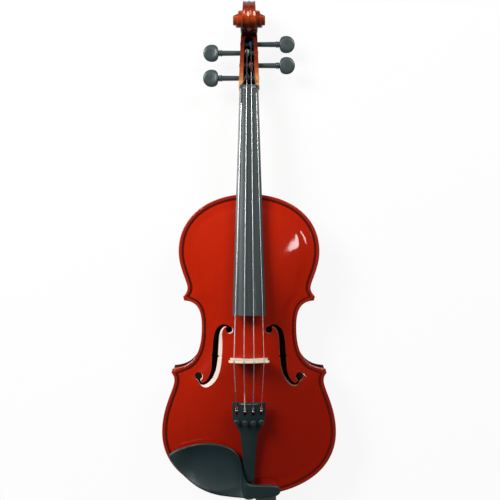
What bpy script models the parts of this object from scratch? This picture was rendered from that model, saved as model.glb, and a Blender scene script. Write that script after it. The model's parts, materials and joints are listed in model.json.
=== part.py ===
"""A sixteen-inch viola with its chin rest, as the separate pieces that it comes apart into.

Lengths are metres. X runs across the body to the treble side, Y runs from the tail of the body
to the scroll, and Z rises out of the belly from the lowest point of the back's arch. The whole
instrument hangs on one empty, which moves the origin to the middle of the footprint.
"""

import math

import bmesh
import bpy
import numpy as np
from mathutils import Matrix, Vector
from mathutils.bvhtree import BVHTree

# Clearance between pieces that touch
GAP = 0.0003

# Body outline, as half widths and as shares of the body's length from its tail
BODY_LENGTH = 0.406
LOWER_BOUT_HALF = 0.117
LOWER_BOUT_SHARE = 0.2118
LOWER_PINCH_HALF = 0.1005
LOWER_PINCH_SHARE = 0.3818
LOWER_CORNER_HALF = 0.1044
LOWER_CORNER_SHARE = 0.4076
WAIST_HALF = 0.0636
WAIST_SHARE = 0.5591
UPPER_CORNER_HALF = 0.0887
UPPER_CORNER_SHARE = 0.6601
UPPER_PINCH_HALF = 0.0828
UPPER_PINCH_SHARE = 0.6897
UPPER_BOUT_HALF = 0.0948
UPPER_BOUT_SHARE = 0.8079
CORNER_FACE = 0.0055
CORNER_LEAN = 0.0015

# Plates, ribs and linings
EDGE_THICKNESS = 0.0045
EDGE_ROUNDING = 0.0016
CHANNEL_DISTANCE = 0.0048
CHANNEL_DEPTH = 0.0006
MARGIN_WIDTH = 0.0078
RIB_HEIGHT = 0.037
RIB_THICKNESS = 0.0012
OVERHANG = 0.0028
LINING_WIDTH = 0.002
LINING_HEIGHT = 0.007
LINING_FEATHER = 0.0003
TOP_ARCH = 0.0135
TOP_THICKNESS = 0.003
BACK_ARCH = 0.0125
BACK_THICKNESS = 0.004
BUTTON_HALF = 0.0112
BUTTON_LENGTH = 0.0135

# Blocks, bass bar and sound post
BOTTOM_BLOCK_HALF = 0.027
BOTTOM_BLOCK_DEPTH = 0.016
TOP_BLOCK_HALF = 0.030
TOP_BLOCK_DEPTH = 0.019
CORNER_BLOCK_REACH = 0.026
BASS_BAR_START_SHARE = 0.1527
BASS_BAR_LENGTH_SHARE = 0.7291
BASS_BAR_WIDTH = 0.0055
BASS_BAR_DEPTH = 0.011
BASS_BAR_X = 0.0185
SOUND_POST_RADIUS = 0.0032
SOUND_POST_X = 0.0195
SOUND_POST_SETBACK = 0.0085

# Sound holes, as steps from the middle of the stem
SOUND_HOLE_X = 0.0452
UPPER_EYE_RADIUS = 0.0044
UPPER_EYE_STEP = (-0.0186, 0.0362)
LOWER_EYE_RADIUS = 0.0051
LOWER_EYE_STEP = (0.0228, -0.0268)
STEM_HALF_WIDTH = 0.004

# Neck, fingerboard and nut
NECK_LENGTH = 0.1426
NECK_SLOPE = 0.118
NECK_RISE = 0.008
NECK_DEPTH = 0.0145
NECK_ROOT_HALF = 0.0165
NECK_ROOT_DEPTH = 0.0095
HEEL_CURVE = 0.004
BOARD_SHARE = 0.8436
BOARD_NUT_HALF = 0.0127
BOARD_END_HALF = 0.022
BOARD_EDGE = 0.005
BOARD_RADIUS = 0.041
BOARD_HOLLOW = 0.0035
NUT_WIDTH = 0.0052
NUT_RISE = 0.0009
NUT_FALL = 0.0017
NUT_FAN = 0.94

# Pegbox and scroll
PEGBOX_LENGTH = 0.0775
PEGBOX_NUT_HALF = 0.0142
PEGBOX_END_HALF = 0.0112
PEGBOX_FALL = 0.016
CHIN_DEPTH = 0.0265
CHIN_START = 0.004
CHIN_RUN = 0.014
CAVITY_NUT_HALF = 0.0083
CAVITY_END_HALF = 0.0061
CAVITY_FLOOR = 0.0055
SCROLL_REACH = 0.0184
SCROLL_DROP = 0.0048
SCROLL_RADIUS = 0.0332
SCROLL_SHRINK = 0.12
SCROLL_TURNS = 2.25
SCROLL_START_WIDTH = 0.0205
SCROLL_TOP_WIDTH = 0.0162
SCROLL_EYE_WIDTH = 0.0434
SCROLL_FLUTE = 0.0013
SCROLL_HOLLOW = 0.0022

# Pegs
PEG_REACHES = (0.0174, 0.0355, 0.0533, 0.0659)
PEG_DROP = 0.0125
PEG_SMALL_RADIUS = 0.0031
PEG_LARGE_RADIUS = 0.0037
PEG_COLLAR_X = 0.0372
PEG_COLLAR_LENGTH = 0.0045
PEG_HEAD_LENGTH = 0.0215
PEG_HEAD_WIDTH = 0.024
PEG_HEAD_THICKNESS = 0.0095
WINDING_WIDTH = 0.005
WINDING_OFFSET = 0.0028

# Strings from the bass side, each with its thickness
STRING_NAMES = ("c", "g", "d", "a")
STRING_RADII = (0.00058, 0.00046, 0.0004, 0.00032)
NUT_STRING_SPAN = 0.0195
BRIDGE_STRING_SPAN = 0.039
TAILPIECE_STRING_SPAN = 0.0325

# Bridge
BRIDGE_SHARE = 0.4635
BRIDGE_STRING_RISE = 0.0178
BRIDGE_RADIUS = 0.043
BRIDGE_FOOT_HALF = 0.0262
BRIDGE_FOOT_LENGTH = 0.0135
BRIDGE_FOOT_THICKNESS = 0.0052
BRIDGE_TOP_THICKNESS = 0.0017

# Saddle, tailpiece and its tuners
SADDLE_HALF = 0.017
SADDLE_DEPTH = 0.006
SADDLE_RISE = 0.007
TAILPIECE_END_Y = 0.021
TAILPIECE_LENGTH = 0.113
TAILPIECE_HEAD_HALF = 0.0224
TAILPIECE_WAIST_HALF = 0.0112
TAILPIECE_TAIL_HALF = 0.0072
TAILPIECE_WAIST_SHARE = 0.5664
TAILPIECE_SHOULDER_SHARE = 0.8142
TAILPIECE_DEPTH = 0.0135
TAILPIECE_TAIL_DEPTH = 0.0055
TAILPIECE_RADIUS = 0.044
TAILPIECE_CROWN = 0.0015
TAILPIECE_SHELL = 0.002
FRET_SETBACK = 0.0025
AXLE_SETBACK = 0.0155
AXLE_DROP = 0.0105
AXLE_RADIUS = 0.001
HOOK_REACH = 0.0065
TUNER_SCREW_REACH = 0.0105
TUNER_ARM_END = 0.0018
TUNER_SCREW_RADIUS = 0.0013
TUNER_KNOB_RADIUS = 0.003
TUNER_KNOB_HEIGHT = 0.0042
TUNER_TRAVEL = 0.003
TUNER_CLEARANCE = 0.0011
LEVER_THICKNESS = 0.0026
TAILGUT_RADIUS = 0.0011
TAILGUT_HALF_SPACING = 0.0045

# End button
BUTTON_SHAFT_RADIUS = 0.0039
BUTTON_SHAFT_LENGTH = 0.019
BUTTON_NECK_RADIUS = 0.0046
BUTTON_NECK_LENGTH = 0.003
BUTTON_HEAD_RADIUS = 0.008
BUTTON_HEAD_LENGTH = 0.007
BUTTON_FACE_RADIUS = 0.005

# Chin rest and its clamp
REST_RISE = 0.0135
REST_THICKNESS = 0.0068
REST_BOWL = 0.0065
REST_FOOT_DEPTH = 0.011
CORK_THICKNESS = 0.0018
CLAMP_X = 0.0225
CLAMP_HALF_SPACING = 0.0115
CLAMP_CLEARANCE = 0.0011
FOOT_INNER_X = 0.0185
CLAMP_ROD_RADIUS = 0.0016
BARREL_RADIUS = 0.0031
BARREL_LENGTH = 0.022
BARREL_ENGAGEMENT = 0.007
BRACKET_THICKNESS = 0.0022
BRACKET_REACH = 0.015

# Levels worked out from the sizes above
BACK_GLUE_Z = BACK_ARCH + EDGE_THICKNESS
TOP_GLUE_Z = BACK_GLUE_Z + RIB_HEIGHT
TOP_EDGE_Z = TOP_GLUE_Z + EDGE_THICKNESS
MID_Z = (BACK_GLUE_Z + TOP_GLUE_Z) / 2
LOWER_BOUT_Y = LOWER_BOUT_SHARE * BODY_LENGTH
LOWER_PINCH_Y = LOWER_PINCH_SHARE * BODY_LENGTH
LOWER_CORNER_Y = LOWER_CORNER_SHARE * BODY_LENGTH
WAIST_Y = WAIST_SHARE * BODY_LENGTH
UPPER_CORNER_Y = UPPER_CORNER_SHARE * BODY_LENGTH
UPPER_PINCH_Y = UPPER_PINCH_SHARE * BODY_LENGTH
UPPER_BOUT_Y = UPPER_BOUT_SHARE * BODY_LENGTH
BRIDGE_Y = BRIDGE_SHARE * BODY_LENGTH
NUT_Y = BODY_LENGTH + NECK_LENGTH
BOARD_LENGTH = BOARD_SHARE * (NUT_Y - BRIDGE_Y)
PEGBOX_END_Y = NUT_Y + PEGBOX_LENGTH
SCROLL_Y = PEGBOX_END_Y + SCROLL_REACH
NECK_Z = TOP_EDGE_Z + NECK_RISE
SCROLL_Z = NECK_Z - NECK_SLOPE * (PEGBOX_END_Y - BODY_LENGTH) - SCROLL_DROP
BRIDGE_STRING_HEIGHT = NECK_Z + NECK_SLOPE * (BODY_LENGTH - BRIDGE_Y) + BRIDGE_STRING_RISE
TAILPIECE_WAIST_REACH = TAILPIECE_WAIST_SHARE * TAILPIECE_LENGTH
TAILPIECE_SHOULDER_REACH = TAILPIECE_SHOULDER_SHARE * TAILPIECE_LENGTH
FRET_REACH = TAILPIECE_LENGTH - FRET_SETBACK
AXLE_REACH = TAILPIECE_LENGTH - AXLE_SETBACK
BRIDGE_STRING_XS = [BRIDGE_STRING_SPAN * (i / 3 - 0.5) for i in range(4)]
NUT_STRING_XS = [NUT_STRING_SPAN * (i / 3 - 0.5) for i in range(4)]
TAILPIECE_STRING_XS = [TAILPIECE_STRING_SPAN * (i / 3 - 0.5) for i in range(4)]


def clear_scene():
    for item in list(bpy.data.objects):
        bpy.data.objects.remove(item, do_unlink=True)


def new_collection(name):
    collection = bpy.data.collections.new(name)
    bpy.context.scene.collection.children.link(collection)
    return collection


clear_scene()
PARTS = new_collection("viola")
CUTTERS = new_collection("viola_cutters")
ASSEMBLY = bpy.data.objects.new("viola_assembly", None)
PARTS.objects.link(ASSEMBLY)


def finish(name, colour, roughness, metallic=0.0):
    """A Principled material, made once and shared by name."""
    material = bpy.data.materials.get(name)
    if material is None:
        material = bpy.data.materials.new(name)
        material.use_nodes = True
        shader = material.node_tree.nodes["Principled BSDF"]
        shader.inputs["Base Color"].default_value = (*colour, 1.0)
        shader.inputs["Roughness"].default_value = roughness
        shader.inputs["Metallic"].default_value = metallic
    return material


def varnish():
    return finish("red_varnish", (0.42, 0.05, 0.01), 0.18)


def spruce():
    return finish("bare_spruce", (0.75, 0.55, 0.33), 0.6)


def ebony():
    return finish("blackened_wood", (0.03, 0.045, 0.045), 0.3)


def maple():
    return finish("bare_maple", (0.85, 0.68, 0.45), 0.5)


def composite():
    return finish("black_composite", (0.02, 0.035, 0.035), 0.35)


def steel():
    return finish("nickel_plated_steel", (0.7, 0.7, 0.7), 0.2, 1.0)


def cork():
    return finish("cork", (0.5, 0.33, 0.2), 0.9)


def nylon():
    return finish("black_nylon", (0.02, 0.02, 0.02), 0.5)


def place(item, material=None, parent=None):
    """Hangs a part on the assembly, or files it with the cutters when it has no material."""
    if material is None:
        CUTTERS.objects.link(item)
        item.hide_render = True
        item.display_type = "WIRE"
    else:
        PARTS.objects.link(item)
        item.data.materials.append(material)
    item.parent = parent or ASSEMBLY
    return item


def solid(name, vertices, faces, material=None, parent=None, sharp=35.0):
    """A closed mesh whose faces are turned outward."""
    mesh = bpy.data.meshes.new(name)
    mesh.from_pydata([tuple(map(float, point)) for point in vertices], [], faces)
    turn = bmesh.new()
    turn.from_mesh(mesh)
    bmesh.ops.recalc_face_normals(turn, faces=turn.faces)
    turn.to_mesh(mesh)
    turn.free()
    mesh.shade_smooth()
    mesh.set_sharp_from_angle(angle=math.radians(sharp))
    return place(bpy.data.objects.new(name, mesh), material, parent)


def loft(rings):
    """Points and faces of a skin over rings that hold as many points each, capped at both ends."""
    count = len(rings[0])
    points = [point for ring in rings for point in ring]
    faces = [list(range(count)), list(range(len(points) - count, len(points)))]
    for start in range(0, len(points) - count, count):
        for i in range(count):
            follower = (i + 1) % count
            faces.append([start + i, start + follower, start + count + follower, start + count + i])
    return points, faces


def turned(name, profile, steps, material=None, parent=None, sharp=35.0):
    """A profile of radii and heights, top to bottom, turned about the piece's own Z axis."""
    mesh = bpy.data.meshes.new(name)
    edges = [(i, i + 1) for i in range(len(profile) - 1)]
    mesh.from_pydata([(radius, 0.0, height) for radius, height in profile], edges, [])
    item = place(bpy.data.objects.new(name, mesh), material, parent)
    screw = item.modifiers.new("turn", "SCREW")
    screw.steps = steps
    screw.render_steps = steps
    screw.use_merge_vertices = True
    screw.merge_threshold = 0.00001
    screw.use_smooth_shade = False
    return item


def turned_tube(name, outer, inner, top, bottom, steps, material=None, parent=None):
    """A straight tube about the piece's own Z axis."""
    rings = []
    for radius, height in ((outer, top), (outer, bottom), (inner, bottom), (inner, top)):
        rings.append([polar(radius, k / steps, height) for k in range(steps)])
    points = [point for ring in rings for point in ring]
    faces = []
    for ring in range(4):
        for k in range(steps):
            a = ring * steps + k
            b = ring * steps + (k + 1) % steps
            c = (ring + 1) % 4 * steps + (k + 1) % steps
            d = (ring + 1) % 4 * steps + k
            faces.append([a, b, c, d])
    return solid(name, points, faces, material, parent)


def polar(radius, turn, height):
    angle = 2 * math.pi * turn
    return (radius * math.cos(angle), radius * math.sin(angle), height)


def cylinder(name, radius, length, sides, material=None, parent=None):
    """A cylinder centred on its own origin, along its own Z axis."""
    mesh = bpy.data.meshes.new(name)
    shape = bmesh.new()
    bmesh.ops.create_cone(
        shape, cap_ends=True, segments=sides, radius1=radius, radius2=radius, depth=length
    )
    shape.to_mesh(mesh)
    shape.free()
    mesh.shade_smooth()
    mesh.set_sharp_from_angle(angle=math.radians(50))
    return place(bpy.data.objects.new(name, mesh), material, parent)


def box(name, low, high, material=None, parent=None):
    """A box between two corners."""
    mesh = bpy.data.meshes.new(name)
    shape = bmesh.new()
    bmesh.ops.create_cube(shape, size=1.0)
    middle = (Vector(low) + Vector(high)) / 2
    size = Vector(high) - Vector(low)
    for point in shape.verts:
        point.co = middle + Vector([a * b for a, b in zip(point.co, size)])
    shape.to_mesh(mesh)
    shape.free()
    return place(bpy.data.objects.new(name, mesh), material, parent)


def slab(name, outlines, thickness, material=None, parent=None):
    """A flat piece in its own XY plane. Outlines after the first are its openings."""
    curve = bpy.data.curves.new(name, "CURVE")
    curve.dimensions = "2D"
    curve.fill_mode = "BOTH"
    curve.extrude = thickness / 2
    for outline in outlines:
        spline = curve.splines.new("POLY")
        spline.points.add(len(outline) - 1)
        for point, (x, y) in zip(spline.points, outline):
            point.co = (x, y, 0.0, 1.0)
        spline.use_cyclic_u = True
    return place(bpy.data.objects.new(name, curve), material, parent)


def wire(name, points, radius, material=None, parent=None):
    """A round wire along a chain of points."""
    curve = bpy.data.curves.new(name, "CURVE")
    curve.dimensions = "3D"
    curve.bevel_depth = radius
    curve.bevel_resolution = 2
    curve.use_fill_caps = True
    spline = curve.splines.new("POLY")
    spline.points.add(len(points) - 1)
    for point, place_of in zip(spline.points, points):
        point.co = (*place_of, 1.0)
    return place(bpy.data.objects.new(name, curve), material, parent)


def as_mesh(item):
    """The same piece with its modifiers or curve made into a plain welded mesh."""
    bpy.context.view_layer.update()
    graph = bpy.context.evaluated_depsgraph_get()
    mesh = bpy.data.meshes.new_from_object(item.evaluated_get(graph))
    shape = bmesh.new()
    shape.from_mesh(mesh)
    bmesh.ops.remove_doubles(shape, verts=shape.verts, dist=0.000002)
    shape.to_mesh(mesh)
    shape.free()
    name = item.name
    new = bpy.data.objects.new(name + "_mesh", mesh)
    for collection in item.users_collection:
        collection.objects.link(new)
    new.parent = item.parent
    new.location = item.location
    new.rotation_euler = item.rotation_euler
    new.hide_render = item.hide_render
    new.display_type = item.display_type
    bpy.data.objects.remove(item, do_unlink=True)
    new.name = name
    return new


def combine(item, other, operation):
    """A Boolean of one piece by a cutter."""
    modifier = item.modifiers.new(operation.lower(), "BOOLEAN")
    modifier.operation = operation
    modifier.solver = "EXACT"
    modifier.object = other


def surface_of(item):
    """The piece's finished surface in the assembly's frame, for seating others on it."""
    bpy.context.view_layer.update()
    graph = bpy.context.evaluated_depsgraph_get()
    return BVHTree.FromObject(item, graph)


def height_from(tree, x, y, start, direction):
    """The level where a vertical line from a start level first meets a surface."""
    hit = tree.ray_cast(Vector((x, y, start)), Vector((0, 0, direction)))[0]
    return hit.z


def span(start, start_way, start_pull, end, end_way, end_pull, count):
    """Points of a cubic curve, without its last one. Pulls are shares of the chord."""
    p0, p3 = Vector(start), Vector(end)
    chord = (p3 - p0).length
    p1 = p0 + Vector(start_way).normalized() * start_pull * chord
    p2 = p3 - Vector(end_way).normalized() * end_pull * chord
    points = []
    for i in range(count):
        t = i / count
        s = 1 - t
        points.append(s**3 * p0 + 3 * s * s * t * p1 + 3 * s * t * t * p2 + t**3 * p3)
    return points


def lower_run(detail=1):
    """Treble half of the lower bout, from the middle of the tail to the lower corner."""
    bout = (LOWER_BOUT_HALF, LOWER_BOUT_Y)
    pinch = (LOWER_PINCH_HALF, LOWER_PINCH_Y)
    tip = (LOWER_CORNER_HALF, LOWER_CORNER_Y)
    points = span((0, 0), (1, 0), 0.338, bout, (0, 1), 0.432, 9 * detail)
    points += span(bout, (0, 1), 0.475, pinch, (0, 1), 0.159, 4 * detail)
    points += span(pinch, (0, 1), 0.448, tip, (0.7, 1), 0.446, 2 * detail)
    return points + [Vector(tip)]


def waist_run(detail=1):
    """The waist between the two corners."""
    start = (LOWER_CORNER_HALF - CORNER_LEAN, LOWER_CORNER_Y + CORNER_FACE)
    middle = (WAIST_HALF, WAIST_Y)
    end = (UPPER_CORNER_HALF - CORNER_LEAN, UPPER_CORNER_Y - CORNER_FACE)
    points = span(start, (-1, 0.05), 0.46, middle, (0, 1), 0.438, 7 * detail)
    points += span(middle, (0, 1), 0.509, end, (1, 0.05), 0.44, 6 * detail)
    return points + [Vector(end)]


def upper_run(detail=1):
    """Treble half of the upper bout, from the upper corner to the neck."""
    tip = (UPPER_CORNER_HALF, UPPER_CORNER_Y)
    pinch = (UPPER_PINCH_HALF, UPPER_PINCH_Y)
    bout = (UPPER_BOUT_HALF, UPPER_BOUT_Y)
    points = span(tip, (-0.7, 1), 0.3, pinch, (0, 1), 0.45, 2 * detail)
    points += span(pinch, (0, 1), 0.15, bout, (0, 1), 0.417, 3 * detail)
    points += span(bout, (0, 1), 0.428, (0, BODY_LENGTH), (-1, 0), 0.397, 9 * detail)
    return points + [Vector((0, BODY_LENGTH))]


def top_outline():
    return lower_run() + waist_run() + upper_run()


def back_outline():
    """The same outline with the round button that the neck's heel is glued to."""
    points = [p for p in top_outline() if p.y < BODY_LENGTH / 2 or p.x > BUTTON_HALF]
    straight = BUTTON_LENGTH - BUTTON_HALF * 0.8
    for i in range(6):
        angle = math.pi / 2 * i / 5
        y = BODY_LENGTH + straight + BUTTON_HALF * 0.8 * math.sin(angle)
        points.append(Vector((BUTTON_HALF * math.cos(angle), y)))
    points[-6:-6] = [Vector((BUTTON_HALF, points[-7].y + 0.0006))]
    return points


def inset(run, distance):
    """A run moved inward by a distance along its own normals."""
    moved = []
    for i, point in enumerate(run):
        before = run[max(i - 1, 0)]
        after = run[min(i + 1, len(run) - 1)]
        way = (after - before).normalized()
        moved.append(point + distance * Vector((-way.y, way.x)))
    return moved


def lengths_along(run):
    total = [0.0]
    for a, b in zip(run, run[1:]):
        total.append(total[-1] + (b - a).length)
    return total


def at_length(run, stations):
    """Points of a run at given distances along it."""
    total = lengths_along(run)
    xs = np.interp(stations, total, [p.x for p in run])
    ys = np.interp(stations, total, [p.y for p in run])
    return [Vector((x, y)) for x, y in zip(xs, ys)]


def edge_distance(points, loop):
    """Distance from each point to a closed outline."""
    points = np.asarray(points)[:, None, :]
    start = np.asarray([(p[0], p[1]) for p in loop])
    way = np.roll(start, -1, axis=0) - start
    square = (way**2).sum(axis=1)
    offset = points - start[None]
    along = np.clip((offset * way).sum(axis=2) / square, 0, 1)
    nearest = start + along[..., None] * way
    return np.sqrt(((points - nearest) ** 2).sum(axis=2)).min(axis=1)


def closed_loop(half):
    """Both halves of an outline that starts and ends on the centre line."""
    return half + [Vector((-p.x, p.y)) for p in half[-2:0:-1]]


def smooth_step(value):
    value = np.clip(value, 0, 1)
    return value * value * (3 - 2 * value)


def arch_share(points, loop):
    """How much of the full arch a plate has at each point, from 0 at the channel to 1."""
    points = np.asarray(points)
    inner = np.maximum(edge_distance(points, loop) - CHANNEL_DISTANCE, 0)
    across = inner / (inner + np.abs(points[:, 0]) + 1e-9)
    along = np.clip(1 - np.abs(2 * points[:, 1] / BODY_LENGTH - 1) ** 2.5, 0, 1) ** 0.8
    return along * np.sin(np.pi / 2 * across**0.75) ** 2 * smooth_step(inner / 0.02)


def spine_y(y):
    """Where the cross row that starts on the outline at y meets the centre line."""
    near = 0.06
    far = BODY_LENGTH - 0.06
    return np.interp(y, [0, near, far, BODY_LENGTH + BUTTON_LENGTH], [0.022, near, far, BODY_LENGTH - 0.02])


def row_at_distance(outline, spine, distance, loop):
    """For each cross row, its point that lies a given distance inside the outline."""
    low = np.zeros(len(outline))
    high = np.ones(len(outline))
    for _ in range(22):
        middle = (low + high) / 2
        points = outline + middle[:, None] * (spine - outline)
        inside = edge_distance(points, loop) < distance
        low = np.where(inside, middle, low)
        high = np.where(inside, high, middle)
    return outline + ((low + high) / 2)[:, None] * (spine - outline)


def plate_half(half, glue_z, way, arch, thickness):
    """Points and faces of the treble half of an arched plate, open along the centre line."""
    loop = closed_loop(half)
    outline = np.array([(p.x, p.y) for p in half])
    spine = np.stack([np.zeros(len(half)), spine_y(outline[:, 1])], axis=1)
    edge = glue_z + way * EDGE_THICKNESS
    rounded = row_at_distance(outline, spine, EDGE_ROUNDING, loop)
    channel = row_at_distance(outline, spine, CHANNEL_DISTANCE, loop)
    slope = row_at_distance(outline, spine, 2.3 * CHANNEL_DISTANCE, loop)
    margin = row_at_distance(outline, spine, MARGIN_WIDTH, loop)
    shares = (0.3, 0.62, 1.0)

    def arched(points, drop):
        rise = arch * arch_share(points, loop) - drop
        return [(x, y, edge + way * z) for (x, y), z in zip(points, rise)]

    def flat(points, z):
        return [(x, y, z) for x, y in points]

    rows = [flat(margin + share * (spine - margin), glue_z) for share in reversed(shares)]
    for row in rows:
        inner = np.array([(x, y) for x, y, _ in row])
        rise = arch * arch_share(inner, loop) + EDGE_THICKNESS - thickness
        row[:] = [(x, y, glue_z + way * max(z, 0)) for (x, y), z in zip(inner, rise)]
    rows.append(flat(margin, glue_z))
    rows.append(flat(outline, glue_z))
    rows.append(flat(outline, edge - way * EDGE_ROUNDING * 0.7))
    rows.append(flat(rounded, edge))
    rows.append(arched(channel, CHANNEL_DEPTH))
    rows.append(arched(slope, CHANNEL_DEPTH / 2))
    rows += [arched(slope + share * (spine - slope), 0) for share in shares]
    points = [point for row in rows for point in row]
    count = len(half)
    faces = []
    for r in range(len(rows) - 1):
        for i in range(count - 1):
            a = r * count + i
            faces.append([a, a + 1, a + count + 1, a + count])
    return points, faces


def plate(name, half, glue_z, way, arch, thickness):
    """An arched plate, mirrored from its treble half."""
    points, faces = plate_half(half, glue_z, way, arch, thickness)
    mesh = bpy.data.meshes.new(name)
    if way < 0:
        faces = [face[::-1] for face in faces]
    mesh.from_pydata([tuple(map(float, p)) for p in points], [], faces)
    mesh.shade_smooth()
    mesh.set_sharp_from_angle(angle=math.radians(40))
    item = place(bpy.data.objects.new(name, mesh), varnish())
    mirror = item.modifiers.new("other_half", "MIRROR")
    mirror.use_axis = (True, False, False)
    mirror.merge_threshold = 0.00001
    return item


def circle(centre, radius, count):
    steps = [2 * math.pi * (i + 0.5) / count for i in range(count)]
    return [(centre[0] + radius * math.cos(a), centre[1] + radius * math.sin(a)) for a in steps]


def stem_outline():
    """Both edges of a treble sound hole's stem, hooked over into the two eyes."""
    wide = STEM_HALF_WIDTH
    stations = [
        (*(a + b for a, b in zip(UPPER_EYE_STEP, (0.0002, 0.0030))), 0.3 * wide),
        (-0.0137, 0.0414, 0.36 * wide),
        (-0.0088, 0.0402, 0.55 * wide),
        (-0.0034, 0.0337, 0.78 * wide),
        (-0.0010, 0.0215, 0.94 * wide),
        (0.0, 0.0065, wide),
        (0.0008, -0.0045, 0.97 * wide),
        (0.0018, -0.0140, 0.86 * wide),
        (0.0037, -0.0225, 0.70 * wide),
        (0.0077, -0.0303, 0.56 * wide),
        (0.0130, -0.0357, 0.46 * wide),
        (0.0185, -0.0366, 0.38 * wide),
        (*(a + b for a, b in zip(LOWER_EYE_STEP, (0.0002, -0.0037))), 0.3 * wide),
    ]
    middle = [Vector((x, y)) for x, y, _ in stations]
    inner = [p for p in middle]
    outer = [p for p in middle]
    for i, (_, _, half) in enumerate(stations):
        way = (middle[min(i + 1, len(middle) - 1)] - middle[max(i - 1, 0)]).normalized()
        normal = Vector((-way.y, way.x))
        inner[i] = middle[i] - half * normal
        outer[i] = middle[i] + half * normal
    return [(p.x, p.y) for p in inner + outer[::-1]]


def cut_sound_holes(top):
    """Two sound holes, each a stem and two round eyes."""
    for side in (-1, 1):
        shapes = {
            "stem": stem_outline(),
            "upper_eye": circle(UPPER_EYE_STEP, UPPER_EYE_RADIUS, 14),
            "lower_eye": circle(LOWER_EYE_STEP, LOWER_EYE_RADIUS, 14),
        }
        for kind, outline in shapes.items():
            placed = [(side * (SOUND_HOLE_X + x), BRIDGE_Y + y) for x, y in outline]
            cutter = as_mesh(slab(f"sound_hole_{kind}_{side}", [placed], 4 * TOP_ARCH))
            cutter.location.z = TOP_EDGE_Z + TOP_ARCH / 2
            combine(top, cutter, "DIFFERENCE")


def rib(name, run, side, start_block, end_block):
    """A bent rib with a lining along each edge, feathered out where it meets a block."""
    length = lengths_along(run)[-1]
    ramp = 0.004
    inner_stations = np.linspace(start_block + ramp, length - end_block - ramp, 8)
    stations = [0, start_block / 2, start_block, *inner_stations]
    stations += [length - end_block, length - end_block / 2, length]
    thin = RIB_THICKNESS + LINING_FEATHER
    full = RIB_THICKNESS + LINING_WIDTH
    low, high = BACK_GLUE_Z + GAP, TOP_GLUE_Z - GAP
    fine = at_length(run, np.linspace(0, length, 61))
    outer = at_length(run, stations)
    rings = []
    for i, (station, point) in enumerate(zip(stations, outer)):
        step = station / length * 60
        before = fine[max(int(step) - 1, 0)]
        after = fine[min(int(step) + 2, 60)]
        way = (after - before).normalized()
        normal = Vector((-way.y, way.x))
        lining = full if 3 <= i < len(stations) - 3 else thin
        section = [
            (0, low),
            (lining, low),
            (lining, low + LINING_HEIGHT),
            (RIB_THICKNESS, low + LINING_HEIGHT),
            (RIB_THICKNESS, high - LINING_HEIGHT),
            (lining, high - LINING_HEIGHT),
            (lining, high),
            (0, high),
        ]
        ring = []
        for depth, z in section:
            place_of = point + depth * normal
            ring.append((side * place_of.x, place_of.y, z))
        rings.append(ring)
    return solid(name, *loft(rings), varnish())


def clear_of(run, others, distance):
    """A run without the ends that come within a distance of other runs."""
    total = lengths_along(run)[-1]
    points = at_length(run, np.linspace(0, total, 241))
    inner = inset(points, RIB_THICKNESS + LINING_FEATHER)
    keep = []
    for point, back in zip(points, inner):
        near = min(
            edge_distance([(p.x, p.y) for p in (point, back)], other).min() for other in others
        )
        if near > distance:
            keep.append(point)
    return keep


def rib_runs():
    """Outer faces of the three ribs on the treble side, clear of each other at the corners."""
    lower = inset(lower_run(6), OVERHANG)
    waist = inset(waist_run(6), OVERHANG)
    upper = inset(upper_run(6), OVERHANG)
    lower = at_length(lower, np.linspace(GAP / 2, lengths_along(lower)[-1], 120))
    upper = [p for p in upper if p.x > NECK_ROOT_HALF + GAP or p.y < BODY_LENGTH * 0.9]
    closed = [open_as_loop(lower), open_as_loop(upper)]
    waist = clear_of(waist, closed, RIB_THICKNESS + LINING_FEATHER + GAP)
    return lower, waist, upper


def open_as_loop(run):
    """An open run as a closed loop that goes there and back, for distances to it."""
    return [(p.x, p.y) for p in run + run[-2:0:-1]]


def make_ribs():
    lower, waist, upper = rib_runs()
    reach = CORNER_BLOCK_REACH
    for side, name in ((-1, "bass"), (1, "treble")):
        rib(f"rib_lower_{name}", lower, side, BOTTOM_BLOCK_HALF, reach)
        rib(f"rib_waist_{name}", waist, side, reach, reach)
        rib(f"rib_upper_{name}", upper, side, reach, TOP_BLOCK_HALF - NECK_ROOT_HALF)


def prism(name, outline, low, high, material):
    rings = [[(x, y, z) for x, y in outline] for z in (low, high)]
    return solid(name, *loft(rings), material)


def block_depth():
    """How far behind a rib's outer face a block starts."""
    return RIB_THICKNESS + LINING_FEATHER + GAP


def corner_block(name, first, second, side):
    """The block behind a corner, between the inner faces of two ribs that meet there.

    Both runs start at the corner."""
    reach = CORNER_BLOCK_REACH - 0.002
    first = at_length(first, np.linspace(0, reach, 5))
    second = at_length(second, np.linspace(0, reach, 5))
    hollow = (first[-1] + second[-1]) / 2
    outline = first[::-1] + second[1:] + [hollow]
    points = [(side * p.x, p.y) for p in outline]
    prism(name, points, BACK_GLUE_Z + GAP, TOP_GLUE_Z - GAP, spruce())


def crossing(first, second):
    """Both runs from the point where they cross, so that they share their first point."""
    best = None
    for i in range(len(first) - 1):
        for j in range(len(second) - 1):
            p, r = first[i], first[i + 1] - first[i]
            q, s = second[j], second[j + 1] - second[j]
            across = r.x * s.y - r.y * s.x
            if abs(across) < 1e-14:
                continue
            t = ((q - p).x * s.y - (q - p).y * s.x) / across
            u = ((q - p).x * r.y - (q - p).y * r.x) / across
            if 0 <= t <= 1 and 0 <= u <= 1:
                best = (i, j, p + t * r)
                break
        if best:
            break
    i, j, point = best
    return [point] + first[i + 1 :], [point] + second[j + 1 :]


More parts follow.
